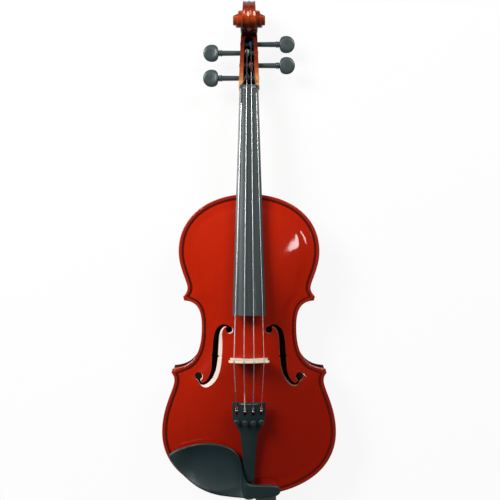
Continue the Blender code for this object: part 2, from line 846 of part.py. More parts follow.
def make_corner_blocks():
    """Four blocks. Each is bounded by the two ribs' inner faces and hollowed behind."""
    depth = OVERHANG + block_depth()
    lower = inset(lower_run(6), depth)[::-1]
    waist = inset(waist_run(6), depth)
    upper = inset(upper_run(6), depth)
    for side, name in ((-1, "bass"), (1, "treble")):
        first, second = crossing(lower, waist)
        corner_block(f"lower_corner_block_{name}", first, second, side)
        first, second = crossing(waist[::-1], upper)
        corner_block(f"upper_corner_block_{name}", first, second, side)


def end_block(name, run, half_width, depth, toward):
    """A block across the centre line whose outer face follows the ribs' inner faces."""
    outer = [p for p in run if p.x <= half_width]
    outer = outer[:: max(len(outer) // 6, 1)]
    if outer[0].x > 0.0005:
        outer = outer[::-1]
    outer[0] = Vector((0.0, outer[0].y))
    level = outer[0].y + toward * depth
    corner = 0.004
    half = outer + [Vector((outer[-1].x, level - toward * corner)), Vector((outer[-1].x - corner, level))]
    outline = [(p.x, p.y) for p in half] + [(-p.x, p.y) for p in half[:0:-1]]
    return prism(name, outline, BACK_GLUE_Z + GAP, TOP_GLUE_Z - GAP, spruce())


def make_end_blocks():
    depth = OVERHANG + block_depth()
    lower = inset(lower_run(4), depth)
    upper = inset(upper_run(4), depth)[::-1]
    bottom = end_block("bottom_block", lower, BOTTOM_BLOCK_HALF, BOTTOM_BLOCK_DEPTH, 1)
    top = end_block("top_block", upper, TOP_BLOCK_HALF, TOP_BLOCK_DEPTH, -1)
    return bottom, top


def drill_for_button(pieces):
    """The hole for the end button, through the tail ends of the ribs and the bottom block."""
    drill = cylinder("end_button_hole", BUTTON_SHAFT_RADIUS + GAP, 4 * BUTTON_SHAFT_LENGTH, 20)
    drill.rotation_euler.x = math.pi / 2
    drill.location = (0, 0, MID_Z)
    for piece in pieces:
        combine(piece, drill, "DIFFERENCE")


def make_bass_bar(top):
    """A tapered bar that follows the inside of the top on the bass side."""
    tree = surface_of(top)
    rings = []
    for i in range(9):
        share = i / 8
        y = (BASS_BAR_START_SHARE + share * BASS_BAR_LENGTH_SHARE) * BODY_LENGTH
        depth = BASS_BAR_DEPTH * (0.3 + 0.7 * math.sin(math.pi * share))
        x = -BASS_BAR_X + 0.0045 * (share - 0.5)
        ring = []
        for step in (-1, 1):
            edge = x + step * BASS_BAR_WIDTH / 2
            ring.append((edge, y, height_from(tree, edge, y, TOP_GLUE_Z - 0.01, 1) - GAP))
        low = min(ring[0][2], ring[1][2]) - depth
        narrow = BASS_BAR_WIDTH * 0.35
        ring += [(x + narrow, y, low), (x - narrow, y, low)]
        rings.append(ring)
    return solid("bass_bar", *loft(rings), spruce())


def make_sound_post(top, back):
    """A dowel that stands between the plates behind the bridge's treble foot."""
    above, below = surface_of(top), surface_of(back)
    y = BRIDGE_Y - SOUND_POST_SETBACK
    rim = [polar(SOUND_POST_RADIUS, k / 12, 0) for k in range(12)]
    bottom = []
    head = []
    for dx, dy, _ in rim:
        x = SOUND_POST_X + dx
        bottom.append((x, y + dy, height_from(below, x, y + dy, MID_Z, -1) + GAP))
        head.append((x, y + dy, height_from(above, x, y + dy, MID_Z, 1) - GAP))
    return solid("sound_post", *loft([bottom, head]), spruce())


def board_plane(y):
    """Level of the plane where the fingerboard is glued to the neck."""
    return NECK_Z - NECK_SLOPE * (y - BODY_LENGTH)


def board_half(y):
    """Half width of the fingerboard."""
    share = (NUT_Y - y) / BOARD_LENGTH
    return BOARD_NUT_HALF + share * (BOARD_END_HALF - BOARD_NUT_HALF)


def board_crown(y, x=0.0):
    """Level of the fingerboard's playing surface."""
    half = board_half(y)
    drop = math.sqrt(BOARD_RADIUS**2 - x**2) - math.sqrt(BOARD_RADIUS**2 - half**2)
    return board_plane(y) + BOARD_EDGE + drop


def pegbox_front(y):
    """Level of the pegbox cheeks' front edges."""
    share = (y - NUT_Y) / PEGBOX_LENGTH
    return board_plane(NUT_Y) - GAP - PEGBOX_FALL * share


def pegbox_back(y):
    """Level of the pegbox's back, from the chin to the underside of the scroll."""
    start = NUT_Y - CHIN_START
    share = smooth_step((y - start) / CHIN_RUN)
    neck = board_plane(NUT_Y) - NECK_DEPTH * 0.95 - 0.10 * (y - NUT_Y)
    reach = (SCROLL_Y - y) / (SCROLL_Y - start)
    bottom = SCROLL_Z - SCROLL_RADIUS
    chin = board_plane(NUT_Y) - CHIN_DEPTH - bottom
    curve = bottom + chin * max(reach, 0) ** 1.5
    return neck * (1 - share) + curve * share


def pegbox_half(y):
    share = (y - NUT_Y) / PEGBOX_LENGTH
    return PEGBOX_NUT_HALF + share * (PEGBOX_END_HALF - PEGBOX_NUT_HALF)


UNDERSIDE_STEPS = 12


def round_section(y, half, top, depth, squareness, taper):
    """A section with a flat top and a round or boxy underside."""
    ring = []
    for k in range(UNDERSIDE_STEPS + 1):
        angle = math.pi * k / UNDERSIDE_STEPS
        c, s = math.cos(angle), math.sin(angle)
        x = math.copysign(abs(c) ** (2 / squareness), c) if abs(c) > 1e-9 else 0.0
        down = s ** (2 / squareness) if s > 1e-9 else 0.0
        ring.append((half * x * (1 - taper * down), y, top - depth * down))
    return ring


def box_section(y, half, top, bottom, flute):
    """A pegbox section: straight cheeks, and a back with a ridge between two flutes."""
    depth = top - bottom
    right = [
        (half, top),
        (half, top - 0.3 * depth),
        (half, top - 0.62 * depth),
        (half * 0.99, top - 0.9 * depth),
        (half * 0.93, bottom),
        (half * 0.5, bottom + flute),
    ]
    points = right + [(0.0, bottom)] + [(-x, z) for x, z in right[::-1]]
    return [(x, y, z) for x, z in points]


def heel_depth(y):
    """Depth of the neck below the fingerboard plane, deepest at the heel."""
    full = board_plane(y) - GAP - (BACK_GLUE_Z + GAP)
    past = y - (BODY_LENGTH + BUTTON_LENGTH - 0.001)
    if past <= 0:
        return full
    thick = NECK_DEPTH * (1.0 - 0.06 * past / NECK_LENGTH)
    return thick + (full - thick) / (1 + past / HEEL_CURVE) ** 2


def root_section(y, grow=0.0):
    """The neck's root in the body. It narrows toward the back's button."""
    half = NECK_ROOT_HALF + grow
    taper = 1 - BUTTON_HALF / NECK_ROOT_HALF
    depth = heel_depth(BODY_LENGTH) + 2 * grow
    return round_section(y, half, board_plane(BODY_LENGTH) - GAP + grow, depth, 5.0, taper)


def neck_sections():
    """Sections of the neck from its root in the top block to the nut."""
    root_end = BODY_LENGTH - NECK_ROOT_DEPTH
    sections = [root_section(root_end), root_section(BODY_LENGTH)]
    heel_end = BODY_LENGTH + BUTTON_LENGTH - 0.001
    stations = [BODY_LENGTH + 0.5 * BUTTON_LENGTH, heel_end - 0.0025, heel_end]
    stations += [heel_end + step for step in (0.0015, 0.004, 0.008, 0.015, 0.03)]
    stations += [NUT_Y - 0.05, NUT_Y - 0.012, NUT_Y - 0.002]
    for y in stations:
        past = max(y - heel_end, 0)
        half = board_half(y) - 0.0004
        if y <= heel_end:
            around = max(y - BODY_LENGTH, 0) / BUTTON_LENGTH
            foot = (BUTTON_HALF - 0.0005) * math.sqrt(max(1 - around**2.6, 0.06))
            taper = 1 - foot / half
            squareness = 5.0
        else:
            blend = math.exp(-past / 0.006)
            taper = 0.55 * blend
            squareness = 2.25 + 1.2 * blend
        sections.append(
            round_section(y, half, board_plane(y) - GAP, heel_depth(y), squareness, taper)
        )
    return sections


def pegbox_sections():
    sections = []
    stations = [NUT_Y + step for step in (0.0, 0.006, 0.013, 0.021, 0.034, 0.05, 0.065)]
    stations += [PEGBOX_END_Y, SCROLL_Y - 0.006, SCROLL_Y + 0.0012]
    for y in stations:
        flute = SCROLL_FLUTE * smooth_step((y - NUT_Y - 0.012) / 0.02)
        half = pegbox_half(y) if y < PEGBOX_END_Y else pegbox_end_half(y)
        sections.append(box_section(y, half, pegbox_front(y), pegbox_back(y) + 0.00006, flute))
    return sections


def pegbox_end_half(y):
    """Half width where the cheeks run into the first turn of the scroll."""
    share = (y - PEGBOX_END_Y) / (SCROLL_Y - PEGBOX_END_Y)
    return PEGBOX_END_HALF + share * (SCROLL_START_WIDTH / 2 - 0.0001 - PEGBOX_END_HALF)


def scroll_width(turn):
    """Full width of the scroll at an angle, from its underside round to its eye."""
    early = SCROLL_TOP_WIDTH + (SCROLL_START_WIDTH - SCROLL_TOP_WIDTH) * (1 - smooth_step(turn * 4))
    late = max(turn - 0.25, 0) / (SCROLL_TURNS - 0.25)
    return early + (SCROLL_EYE_WIDTH - SCROLL_TOP_WIDTH) * late**1.15


def scroll_radius(turn):
    return SCROLL_RADIUS * math.exp(-SCROLL_SHRINK * 2 * math.pi * turn)


def scroll_point(turn, radius, x):
    angle = 2 * math.pi * turn
    return (x, SCROLL_Y + radius * math.sin(angle), SCROLL_Z - radius * math.cos(angle))


def make_volute():
    """The scroll: a rising spiral whose turns step outward to the eyes.

    Each step round the spiral has an edge, the hollow inside it and the foot of the wall that
    climbs to the next turn, on both sides. The first turn also has the fluted rim between its
    two edges. The last turn closes on a flat eye."""
    steps = 24
    last = int(round(SCROLL_TURNS * steps))
    points = []
    index = {}

    def add(key, point):
        index[key] = len(points)
        points.append(point)

    for j in range(last + 1):
        turn = j / steps
        radius, half = scroll_radius(turn), scroll_width(turn) / 2
        for side in (-1, 1):
            add(("edge", j, side), scroll_point(turn, radius, side * half))
            if j <= last - steps:
                base = scroll_radius(turn + 1)
                hollow = SCROLL_HOLLOW * float(smooth_step(turn * 5))
                low = radius + 0.4 * (base - radius)
                add(("hollow", j, side), scroll_point(turn, low, side * (half - hollow)))
                foot = base + 0.0006
                add(("foot", j, side), scroll_point(turn, foot, side * (half - 0.6 * hollow)))
        if j <= steps:
            add(("ridge", j), scroll_point(turn, radius, 0.0))
            for side in (-1, 1):
                place_of = scroll_point(turn, radius - SCROLL_FLUTE, side * half * 0.5)
                add(("flute", j, side), place_of)
    eye = scroll_width(SCROLL_TURNS) / 2
    for side in (-1, 1):
        add(("eye", side), (side * (eye + 0.0004), SCROLL_Y, SCROLL_Z))

    def face(*keys):
        return [index[key] for key in keys]

    faces = []
    for j in range(steps):
        rim = [("edge", -1), ("flute", -1), ("ridge",), ("flute", 1), ("edge", 1)]
        for a, b in zip(rim, rim[1:]):
            corners = [(a[0], j, *a[1:]), (b[0], j, *b[1:]), (b[0], j + 1, *b[1:]), (a[0], j + 1, *a[1:])]
            faces.append(face(*corners))
    for side in (-1, 1):
        for j in range(last - steps):
            outer = ("edge", j, side), ("edge", j + 1, side)
            low = ("hollow", j, side), ("hollow", j + 1, side)
            foot = ("foot", j, side), ("foot", j + 1, side)
            inner = ("edge", j + steps, side), ("edge", j + steps + 1, side)
            for a, b in ((outer, low), (low, foot), (foot, inner)):
                faces.append(face(a[0], a[1], b[1], b[0]))
        for j in range(last - steps, last):
            faces.append(face(("edge", j, side), ("edge", j + 1, side), ("eye", side)))
        j = last - steps
        faces.append(
            face(("eye", side), ("edge", j, side), ("hollow", j, side), ("foot", j, side), ("edge", last, side))
        )
    start = [("edge", 0, -1), ("flute", 0, -1), ("ridge", 0), ("flute", 0, 1), ("edge", 0, 1)]
    start += [("hollow", 0, 1), ("foot", 0, 1)]
    start += [("edge", steps, 1), ("flute", steps, 1), ("ridge", steps), ("flute", steps, -1)]
    start += [("edge", steps, -1), ("foot", 0, -1), ("hollow", 0, -1)]
    faces.append(face(*start))
    return solid("scroll_volute", points, faces)


def make_cavity():
    """The open trough of the pegbox."""
    start = NUT_Y + NUT_WIDTH + GAP
    end = PEGBOX_END_Y - 0.002
    rings = []
    for i in range(6):
        share = i / 5
        y = start + share * (end - start)
        half = CAVITY_NUT_HALF + share * (CAVITY_END_HALF - CAVITY_NUT_HALF)
        floor = pegbox_back(y) + CAVITY_FLOOR
        rings.append([(-half, y, floor), (half, y, floor), (half, y, 0.1), (-half, y, 0.1)])
    return solid("pegbox_cavity", *loft(rings))


def peg_place(i):
    """Centre of a peg in the pegbox."""
    y = NUT_Y + PEG_REACHES[i]
    return Vector((0.0, y, pegbox_front(y) - PEG_DROP))


PEG_ORDER = (0, 3, 1, 2)
PEG_SIDES = (-1, -1, 1, 1)


def make_neck():
    """Neck, pegbox and scroll in one piece of wood."""
    neck = solid("neck_and_scroll", *loft(neck_sections() + pegbox_sections()), varnish())
    combine(neck, make_volute(), "UNION")
    combine(neck, make_cavity(), "DIFFERENCE")
    for i in range(4):
        hole = cylinder(f"peg_hole_{i}", PEG_LARGE_RADIUS + 0.00045, 0.06, 20)
        hole.rotation_euler.y = math.pi / 2
        hole.location = peg_place(i)
        combine(neck, hole, "DIFFERENCE")
    return neck


def root_cutter():
    """The neck's root grown by the clearance, to notch the top and mortise the block."""
    ends = (BODY_LENGTH - NECK_ROOT_DEPTH - GAP, BODY_LENGTH + 0.01)
    return solid("neck_root_socket", *loft([root_section(y, GAP) for y in ends]))


def make_fingerboard():
    """A board with a rounded face, hollowed underneath past the end of the neck."""
    end = NUT_Y - BOARD_LENGTH
    rings = []
    hollow_start = BODY_LENGTH - NECK_ROOT_DEPTH - 0.004
    stations = [end, end + 0.05, hollow_start - 0.05, hollow_start, BODY_LENGTH]
    stations += [NUT_Y - GAP]
    for y in stations:
        half = board_half(y)
        plane = board_plane(y)
        ring = []
        for k in range(9):
            x = half * math.cos(math.pi * k / 8)
            ring.append((x, y, board_crown(y, x)))
        depth = BOARD_HOLLOW * float(smooth_step((hollow_start - y) / 0.03))
        ring.append((-half, y, plane))
        for share in (-0.75, -0.4, 0.0, 0.4, 0.75):
            ring.append((share * half, y, plane + depth * (1 - share**2 / 0.8)))
        ring.append((half, y, plane))
        rings.append(ring)
    return solid("fingerboard", *loft(rings), ebony())


def nut_string_z(i):
    """Level of a string's centre where it lies on the nut."""
    return board_crown(NUT_Y, NUT_STRING_XS[i]) + NUT_RISE


def notch(x, z, string_radius):
    """A round notch that a string lies in, as steps across and levels."""
    radius = (string_radius + 1.4 * GAP) / math.cos(math.pi / 8)
    steps = [math.pi * k / 4 for k in range(5)]
    return [(x - radius * math.cos(a), z - radius * math.sin(a)) for a in steps]


def make_nut():
    """The nut, with a groove for each string and a top that falls toward the pegbox."""
    rings = []
    base = board_plane(NUT_Y)
    half = BOARD_NUT_HALF
    for y, fall, fan in ((NUT_Y, 0.0, 1.0), (NUT_Y + NUT_WIDTH, NUT_FALL, NUT_FAN)):
        profile = [(-half, base), (-half, board_crown(NUT_Y, half) - fall)]
        for i in range(4):
            z = nut_string_z(i) - fall
            profile += notch(NUT_STRING_XS[i] * fan, z, STRING_RADII[i])
        profile += [(half, board_crown(NUT_Y, half) - fall), (half, base)]
        rings.append([(x, y, z) for x, z in profile])
    return solid("nut", *loft(rings), ebony())


def bridge_string_z(i):
    """Level of a string's centre on the bridge's curved top."""
    x = BRIDGE_STRING_XS[i]
    lower = 0.002 * (i / 3)
    return BRIDGE_STRING_HEIGHT - lower - BRIDGE_RADIUS + math.sqrt(BRIDGE_RADIUS**2 - x**2)


def make_bridge(top):
    """The bridge: two feet, a waist with side cuts, a heart and a thin curved top."""
    tree = surface_of(top)
    y = BRIDGE_Y
    outer = BRIDGE_FOOT_HALF
    inner = outer - BRIDGE_FOOT_LENGTH
    half = BRIDGE_FOOT_THICKNESS / 2

    def foot_level(x):
        return max(height_from(tree, x, y + step, 0.2, -1) for step in (-half, half)) + GAP

    foot = foot_level(outer)
    rise = BRIDGE_STRING_HEIGHT - foot
    right = [
        (inner, foot_level(inner)),
        ((inner + outer) / 2, foot_level((inner + outer) / 2)),
        (outer, foot),
        (outer, foot + 0.0016),
        (outer - 0.0035, foot + 0.0048),
        (outer - 0.0052, foot + 0.24 * rise),
        (outer - 0.0016, foot + 0.34 * rise),
        (outer - 0.0050, foot + 0.40 * rise),
        (outer - 0.0095, foot + 0.43 * rise),
        (outer - 0.0092, foot + 0.50 * rise),
        (outer - 0.0022, foot + 0.53 * rise),
        (outer - 0.0012, foot + 0.62 * rise),
    ]
    ends = []
    for i, side in ((0, -1), (3, 1)):
        x = BRIDGE_STRING_XS[i] + side * 0.0045
        ends.append((x, bridge_string_z(i) - 0.0022))
    outline = [(-x, z) for x, z in right] + [ends[0]]
    for i in range(4):
        outline += notch(BRIDGE_STRING_XS[i], bridge_string_z(i), STRING_RADII[i])
    outline += [ends[1]] + right[::-1]
    outline += [
        (inner * 0.86, foot + 0.13 * rise),
        (inner * 0.45, foot + 0.20 * rise),
        (0.0, foot + 0.225 * rise),
        (-inner * 0.45, foot + 0.20 * rise),
        (-inner * 0.86, foot + 0.13 * rise),
    ]
    middle = foot + 0.52 * rise
    heart = []
    for k in range(16):
        angle = 2 * math.pi * (k + 0.5) / 16
        wide = 0.0055 * math.sin(angle) ** 3
        tall = 0.0048 * (math.cos(angle) - 0.38 * math.cos(2 * angle) - 0.15 * math.cos(3 * angle))
        heart.append((wide, middle + tall))
    bridge = as_mesh(slab("bridge", [outline, heart], 2.0, maple()))
    for point in bridge.data.vertices:
        x, z, side = point.co
        share = min(max((z - foot) / rise, 0), 1)
        thick = BRIDGE_FOOT_THICKNESS + share * (BRIDGE_TOP_THICKNESS - BRIDGE_FOOT_THICKNESS)
        point.co = (x, y + side * thick / 2, z)
    bridge.data.flip_normals()
    return bridge


def saddle_crest():
    return TOP_EDGE_Z + SADDLE_RISE


def tail_line():
    """Where the tailpiece's own frame starts, and its angle to the belly."""
    low = Vector((0.0, SADDLE_DEPTH / 2, saddle_crest() + TAILGUT_RADIUS))
    high = Vector((0.0, BRIDGE_Y, BRIDGE_STRING_HEIGHT))
    way = (high - low).normalized()
    start = low + way * (TAILPIECE_END_Y - low.y) / way.y
    return start, math.atan2(way.z, way.y)


def tailpiece_frame():
    """An empty at the tailpiece's tail. Its Y axis follows the strings up to the bridge."""
    frame = bpy.data.objects.new("tailpiece_frame", None)
    PARTS.objects.link(frame)
    frame.parent = ASSEMBLY
    start, angle = tail_line()
    frame.location = start
    frame.rotation_euler.x = angle
    return frame


def from_tailpiece(point):
    """A point of the tailpiece's frame in the assembly's frame."""
    start, angle = tail_line()
    return start + Matrix.Rotation(angle, 3, "X") @ Vector(point)


def tailpiece_half(y):
    """Half width of the tailpiece at a distance from its tail."""
    waist, shoulder = TAILPIECE_WAIST_REACH, TAILPIECE_SHOULDER_REACH
    slim = TAILPIECE_TAIL_HALF + min(y / waist, 1) ** 1.6 * (TAILPIECE_WAIST_HALF - TAILPIECE_TAIL_HALF)
    flare = float(smooth_step((y - waist) / (shoulder - waist)))
    wide = TAILPIECE_HEAD_HALF - TAILPIECE_WAIST_HALF
    return slim + 0.93 * wide * flare + 0.07 * wide * min(max(y / TAILPIECE_LENGTH, 0), 1) ** 4


def tailpiece_top(x):
    """Level of the tailpiece's face in its own frame."""
    return math.sqrt(TAILPIECE_RADIUS**2 - x**2) - TAILPIECE_RADIUS - TAILPIECE_CROWN


def tailpiece_ring(y, shrink, lid, floor):
    """A section of the tailpiece, or of its hollow when shrunk."""
    half = tailpiece_half(y) - shrink
    ring = []
    for k in range(9):
        x = half * math.cos(math.pi * k / 8)
        ring.append((x, y, tailpiece_top(x) - lid))
    side = min(floor, tailpiece_top(half) - lid - 0.002)
    return ring + [(-half, y, side), (half, y, side)]


def make_tailpiece(frame):
    """A moulded tailpiece with an open slot, a screw hole and room below for each tuner."""
    stations = [0, 0.003, 0.02, 0.04, TAILPIECE_WAIST_REACH]
    flare = TAILPIECE_SHOULDER_REACH - TAILPIECE_WAIST_REACH
    stations += [TAILPIECE_WAIST_REACH + share * flare for share in (0.25, 0.5, 0.75, 1.0)]
    stations += [TAILPIECE_LENGTH - 0.001, TAILPIECE_LENGTH]
    rings = []
    for y in stations:
        share = float(smooth_step(y / TAILPIECE_SHOULDER_REACH))
        depth = TAILPIECE_TAIL_DEPTH + share * (TAILPIECE_DEPTH - TAILPIECE_TAIL_DEPTH)
        trim = 0.0009 if y in (stations[0], stations[-1]) else 0.0
        rings.append(tailpiece_ring(y, trim, trim, trim - depth))
    body = solid("tailpiece", *loft(rings), composite(), frame)
    start = AXLE_REACH - TUNER_SCREW_REACH - TUNER_ARM_END - 0.0015
    inner = []
    shoulder = max(TAILPIECE_SHOULDER_REACH, start + 0.002)
    for y in (start, (start + shoulder) / 2, shoulder, TAILPIECE_LENGTH - 1.3 * TAILPIECE_SHELL):
        inner.append(tailpiece_ring(y, TAILPIECE_SHELL, TAILPIECE_SHELL, -0.04))
    combine(body, solid("tailpiece_hollow", *loft(inner), None, frame), "DIFFERENCE")
    for i, x in enumerate(TAILPIECE_STRING_XS):
        half = LEVER_THICKNESS / 2 + 0.0005
        low = (x - half, AXLE_REACH - 0.0035, tailpiece_top(x) - 2 * TAILPIECE_SHELL)
        high = (x + half, AXLE_REACH + HOOK_REACH + 0.003, 0.02)
        combine(body, box(f"lever_slot_{i}", low, high, None, frame), "DIFFERENCE")
        hole = cylinder(f"screw_hole_{i}", TUNER_SCREW_RADIUS + GAP, 0.012, 12, None, frame)
        hole.location = (x, AXLE_REACH - TUNER_SCREW_REACH, tailpiece_top(x))
        combine(body, hole, "DIFFERENCE")
    bore = cylinder("axle_hole", AXLE_RADIUS + GAP, 2.5 * TAILPIECE_HEAD_HALF, 12, None, frame)
    bore.rotation_euler.y = math.pi / 2
    bore.location = (0, AXLE_REACH, -AXLE_DROP)
    combine(body, bore, "DIFFERENCE")
    groove = box(
        "fret_groove",
        (-TAILPIECE_HEAD_HALF * 0.62, FRET_REACH - 0.0006, tailpiece_top(TAILPIECE_HEAD_HALF * 0.5) - 0.0004),
        (TAILPIECE_HEAD_HALF * 0.62, FRET_REACH + 0.0006, 0.01),
        None,
        frame,
    )
    combine(body, groove, "DIFFERENCE")
    return body


def make_fret(frame):
    """The light bar let into the tailpiece's head under the strings."""
    half = TAILPIECE_HEAD_HALF * 0.62 - GAP
    bottom = tailpiece_top(TAILPIECE_HEAD_HALF * 0.5) - 0.0004 + GAP
    rings = []
    for y in (FRET_REACH - 0.0006 + GAP, FRET_REACH + 0.0006 - GAP):
        ring = [(-half, y, bottom), (half, y, bottom)]
        for k in range(7):
            x = half * math.cos(math.pi * k / 6)
            ring.append((x, y, max(tailpiece_top(x) + 0.0003, bottom + 0.0003)))
        rings.append(ring)
    return solid("tailpiece_fret", *loft(rings), steel(), frame)


def make_tuner(i, frame):
    """One tuner: a knob that turns, its screw that goes down, and the lever it pushes."""
    name = STRING_NAMES[i]
    x = TAILPIECE_STRING_XS[i]
    surface = tailpiece_top(x)
    hook = surface + TAILPIECE_CROWN + AXLE_DROP
    arm = -TUNER_SCREW_REACH - TUNER_ARM_END
    profile = [
        (arm, -0.0012),
        (-0.0026, -0.0022),
        (0.0, -0.0026),
        (0.0026, -0.0014),
        (0.0042, 0.0030),
        (HOOK_REACH + 0.0014, hook + 0.0012),
        (HOOK_REACH - 0.0014, hook + 0.0012),
        (0.0006, 0.0030),
        (-0.0022, 0.0014),
        (arm, 0.0012),
    ]
    openings = [profile, circle((0, 0), AXLE_RADIUS + GAP, 10)]
    lever = as_mesh(slab(f"tuner_lever_{name}", openings, LEVER_THICKNESS, steel(), frame))
    for point in lever.data.vertices:
        along, up, across = point.co
        point.co = (across, along, up)
    lever.location = (x, AXLE_REACH, -AXLE_DROP)
    gape = STRING_RADII[i] + GAP
    slot = box(f"hook_slot_{name}", (-gape, 0.002, hook - 0.0036), (gape, 0.02, hook + 0.01), None, frame)
    slot.location = lever.location
    combine(lever, slot, "DIFFERENCE")

    tip = -AXLE_DROP + 0.0012 + 1.6 * GAP
    neck = surface + TUNER_TRAVEL + TUNER_CLEARANCE
    y = AXLE_REACH - TUNER_SCREW_REACH
    screw = cylinder(f"tuner_screw_{name}", TUNER_SCREW_RADIUS, neck - GAP - tip, 12, steel(), frame)
    screw.location = (x, y, (neck - GAP + tip) / 2)
    radius, height = TUNER_KNOB_RADIUS, TUNER_KNOB_HEIGHT
    shape = [
        (0.0, height),
        (radius * 0.8, height),
        (radius, height * 0.85),
        (radius, height * 0.15),
        (radius * 0.75, 0.0),
        (0.0, 0.0),
    ]
    knob = turned(f"tuner_knob_{name}", shape, 14, steel(), frame)
    knob.location = (x, y, neck)


def make_axle(frame):
    """The pin that the four tuner levers turn on."""
    half = tailpiece_half(AXLE_REACH) - 0.0008
    axle = cylinder("tuner_axle", AXLE_RADIUS, 2 * half, 10, steel(), frame)
    axle.rotation_euler.y = math.pi / 2
    axle.location = (0, AXLE_REACH, -AXLE_DROP)


def winding_x(i):
    """Where a string winds on its peg, on the side of the peg's head."""
    return PEG_SIDES[i] * WINDING_OFFSET


def winding_radius(i):
    return PEG_LARGE_RADIUS + 0.0006 + 2 * STRING_RADII[i]


def peg_of_string(i):
    return PEG_ORDER.index(i)


def string_points(i):
    """The string's route from its peg, over the nut and the bridge, to its tuner."""
    radius = STRING_RADII[i]
    peg = peg_place(peg_of_string(i))
    back = Vector((NUT_STRING_XS[i] * NUT_FAN, NUT_Y + NUT_WIDTH, nut_string_z(i) - NUT_FALL))
    reach = winding_radius(i) + radius + GAP
    x = winding_x(i)
    gap = Vector((0, peg.y - back.y, peg.z - back.z))
    lean = math.atan2(gap.z, gap.y)
    tilt = math.asin(reach / gap.length)
    tangent = lean + tilt
    length = math.sqrt(gap.length**2 - reach**2)
    end = Vector((x, back.y + length * math.cos(tangent), back.z + length * math.sin(tangent)))
    front = Vector((NUT_STRING_XS[i], NUT_Y, nut_string_z(i)))
    bridge = Vector((BRIDGE_STRING_XS[i], BRIDGE_Y, bridge_string_z(i)))
    hook_x = TAILPIECE_STRING_XS[i]
    level = tailpiece_top(hook_x) + TAILPIECE_CROWN
    hook = from_tailpiece((hook_x, AXLE_REACH + HOOK_REACH - 0.0016, level))
    return [end, back, front, bridge, hook]


def make_strings():
    for i, name in enumerate(STRING_NAMES):
        wire(f"string_{name}", string_points(i), STRING_RADII[i], steel())


def peg_sections(small_end, collar):
    """Sections of a peg from its tip: distance, half height and half thickness."""
    large, small = PEG_LARGE_RADIUS, PEG_SMALL_RADIUS
    head = collar + PEG_COLLAR_LENGTH
    tall, thick = PEG_HEAD_WIDTH / 2, PEG_HEAD_THICKNESS / 2
    long = PEG_HEAD_LENGTH
    return [
        (small_end, small, small),
        (collar, large, large),
        (collar + 0.0003, 1.22 * large, 1.22 * large),
        (head - 0.0012, 1.22 * large, 1.22 * large),
        (head, 0.95 * large, 0.85 * large),
        (head + 0.03 * long, 0.50 * tall, 0.9 * thick),
        (head + 0.14 * long, 0.82 * tall, 0.95 * thick),
        (head + 0.38 * long, tall, 0.8 * thick),
        (head + 0.62 * long, 0.97 * tall, 0.75 * thick),
        (head + 0.82 * long, 0.77 * tall, 0.7 * thick),
        (head + 0.95 * long, 0.45 * tall, 0.55 * thick),
        (head + long, 0.15 * tall, 0.25 * thick),
    ]


def make_peg(i):
    """A tapered peg with a turned collar and a flat thumb piece, along its own Z axis."""
    place_of = peg_place(i)
    side = PEG_SIDES[PEG_ORDER[i]]
    end = pegbox_half(place_of.y) + 0.0006
    rings = []
    for z, tall, thick in peg_sections(-end, PEG_COLLAR_X):
        rings.append([(thick * math.cos(a), tall * math.sin(a), z) for a in peg_angles()])
    name = STRING_NAMES[PEG_ORDER[i]]
    peg = solid(f"peg_{name}", *loft(rings), ebony(), None, 45.0)
    peg.location = place_of
    peg.rotation_euler = (0, side * math.pi / 2, 0)
    string = PEG_ORDER[i]
    coil = turned_tube(
        f"winding_{name}",
        winding_radius(string),
        PEG_LARGE_RADIUS + GAP,
        WINDING_WIDTH / 2,
        -WINDING_WIDTH / 2,
        14,
        steel(),
    )
    coil.location = place_of + Vector((winding_x(string), 0, 0))
    coil.rotation_euler = (0, side * math.pi / 2, 0)


def peg_angles():
    return [2 * math.pi * (k + 0.5) / 14 for k in range(14)]


def make_saddle(top):
    """The hard block that the tailgut bears on, let into the top's lower edge."""
    half = SADDLE_HALF
    crest = saddle_crest()
    profile = [
        (GAP, TOP_GLUE_Z + GAP),
        (SADDLE_DEPTH, TOP_GLUE_Z + GAP),
        (SADDLE_DEPTH, TOP_EDGE_Z + 0.0008),
        (SADDLE_DEPTH * 0.72, crest - 0.0004),
        (SADDLE_DEPTH * 0.45, crest),
        (SADDLE_DEPTH * 0.2, crest - 0.0005),
        (GAP, crest - 0.0024),
    ]
    rings = [[(x, y, z) for y, z in profile] for x in (-half, half)]
    solid("saddle", *loft(rings), ebony())
    low = (-half - GAP, -0.01, TOP_GLUE_Z - 0.001)
    high = (half + GAP, SADDLE_DEPTH + GAP, TOP_EDGE_Z + 0.01)
    combine(top, box("saddle_notch", low, high), "DIFFERENCE")


def button_neck_y():
    """Middle of the groove that the tailgut lies in."""
    return -TAILGUT_RADIUS - 2 * GAP


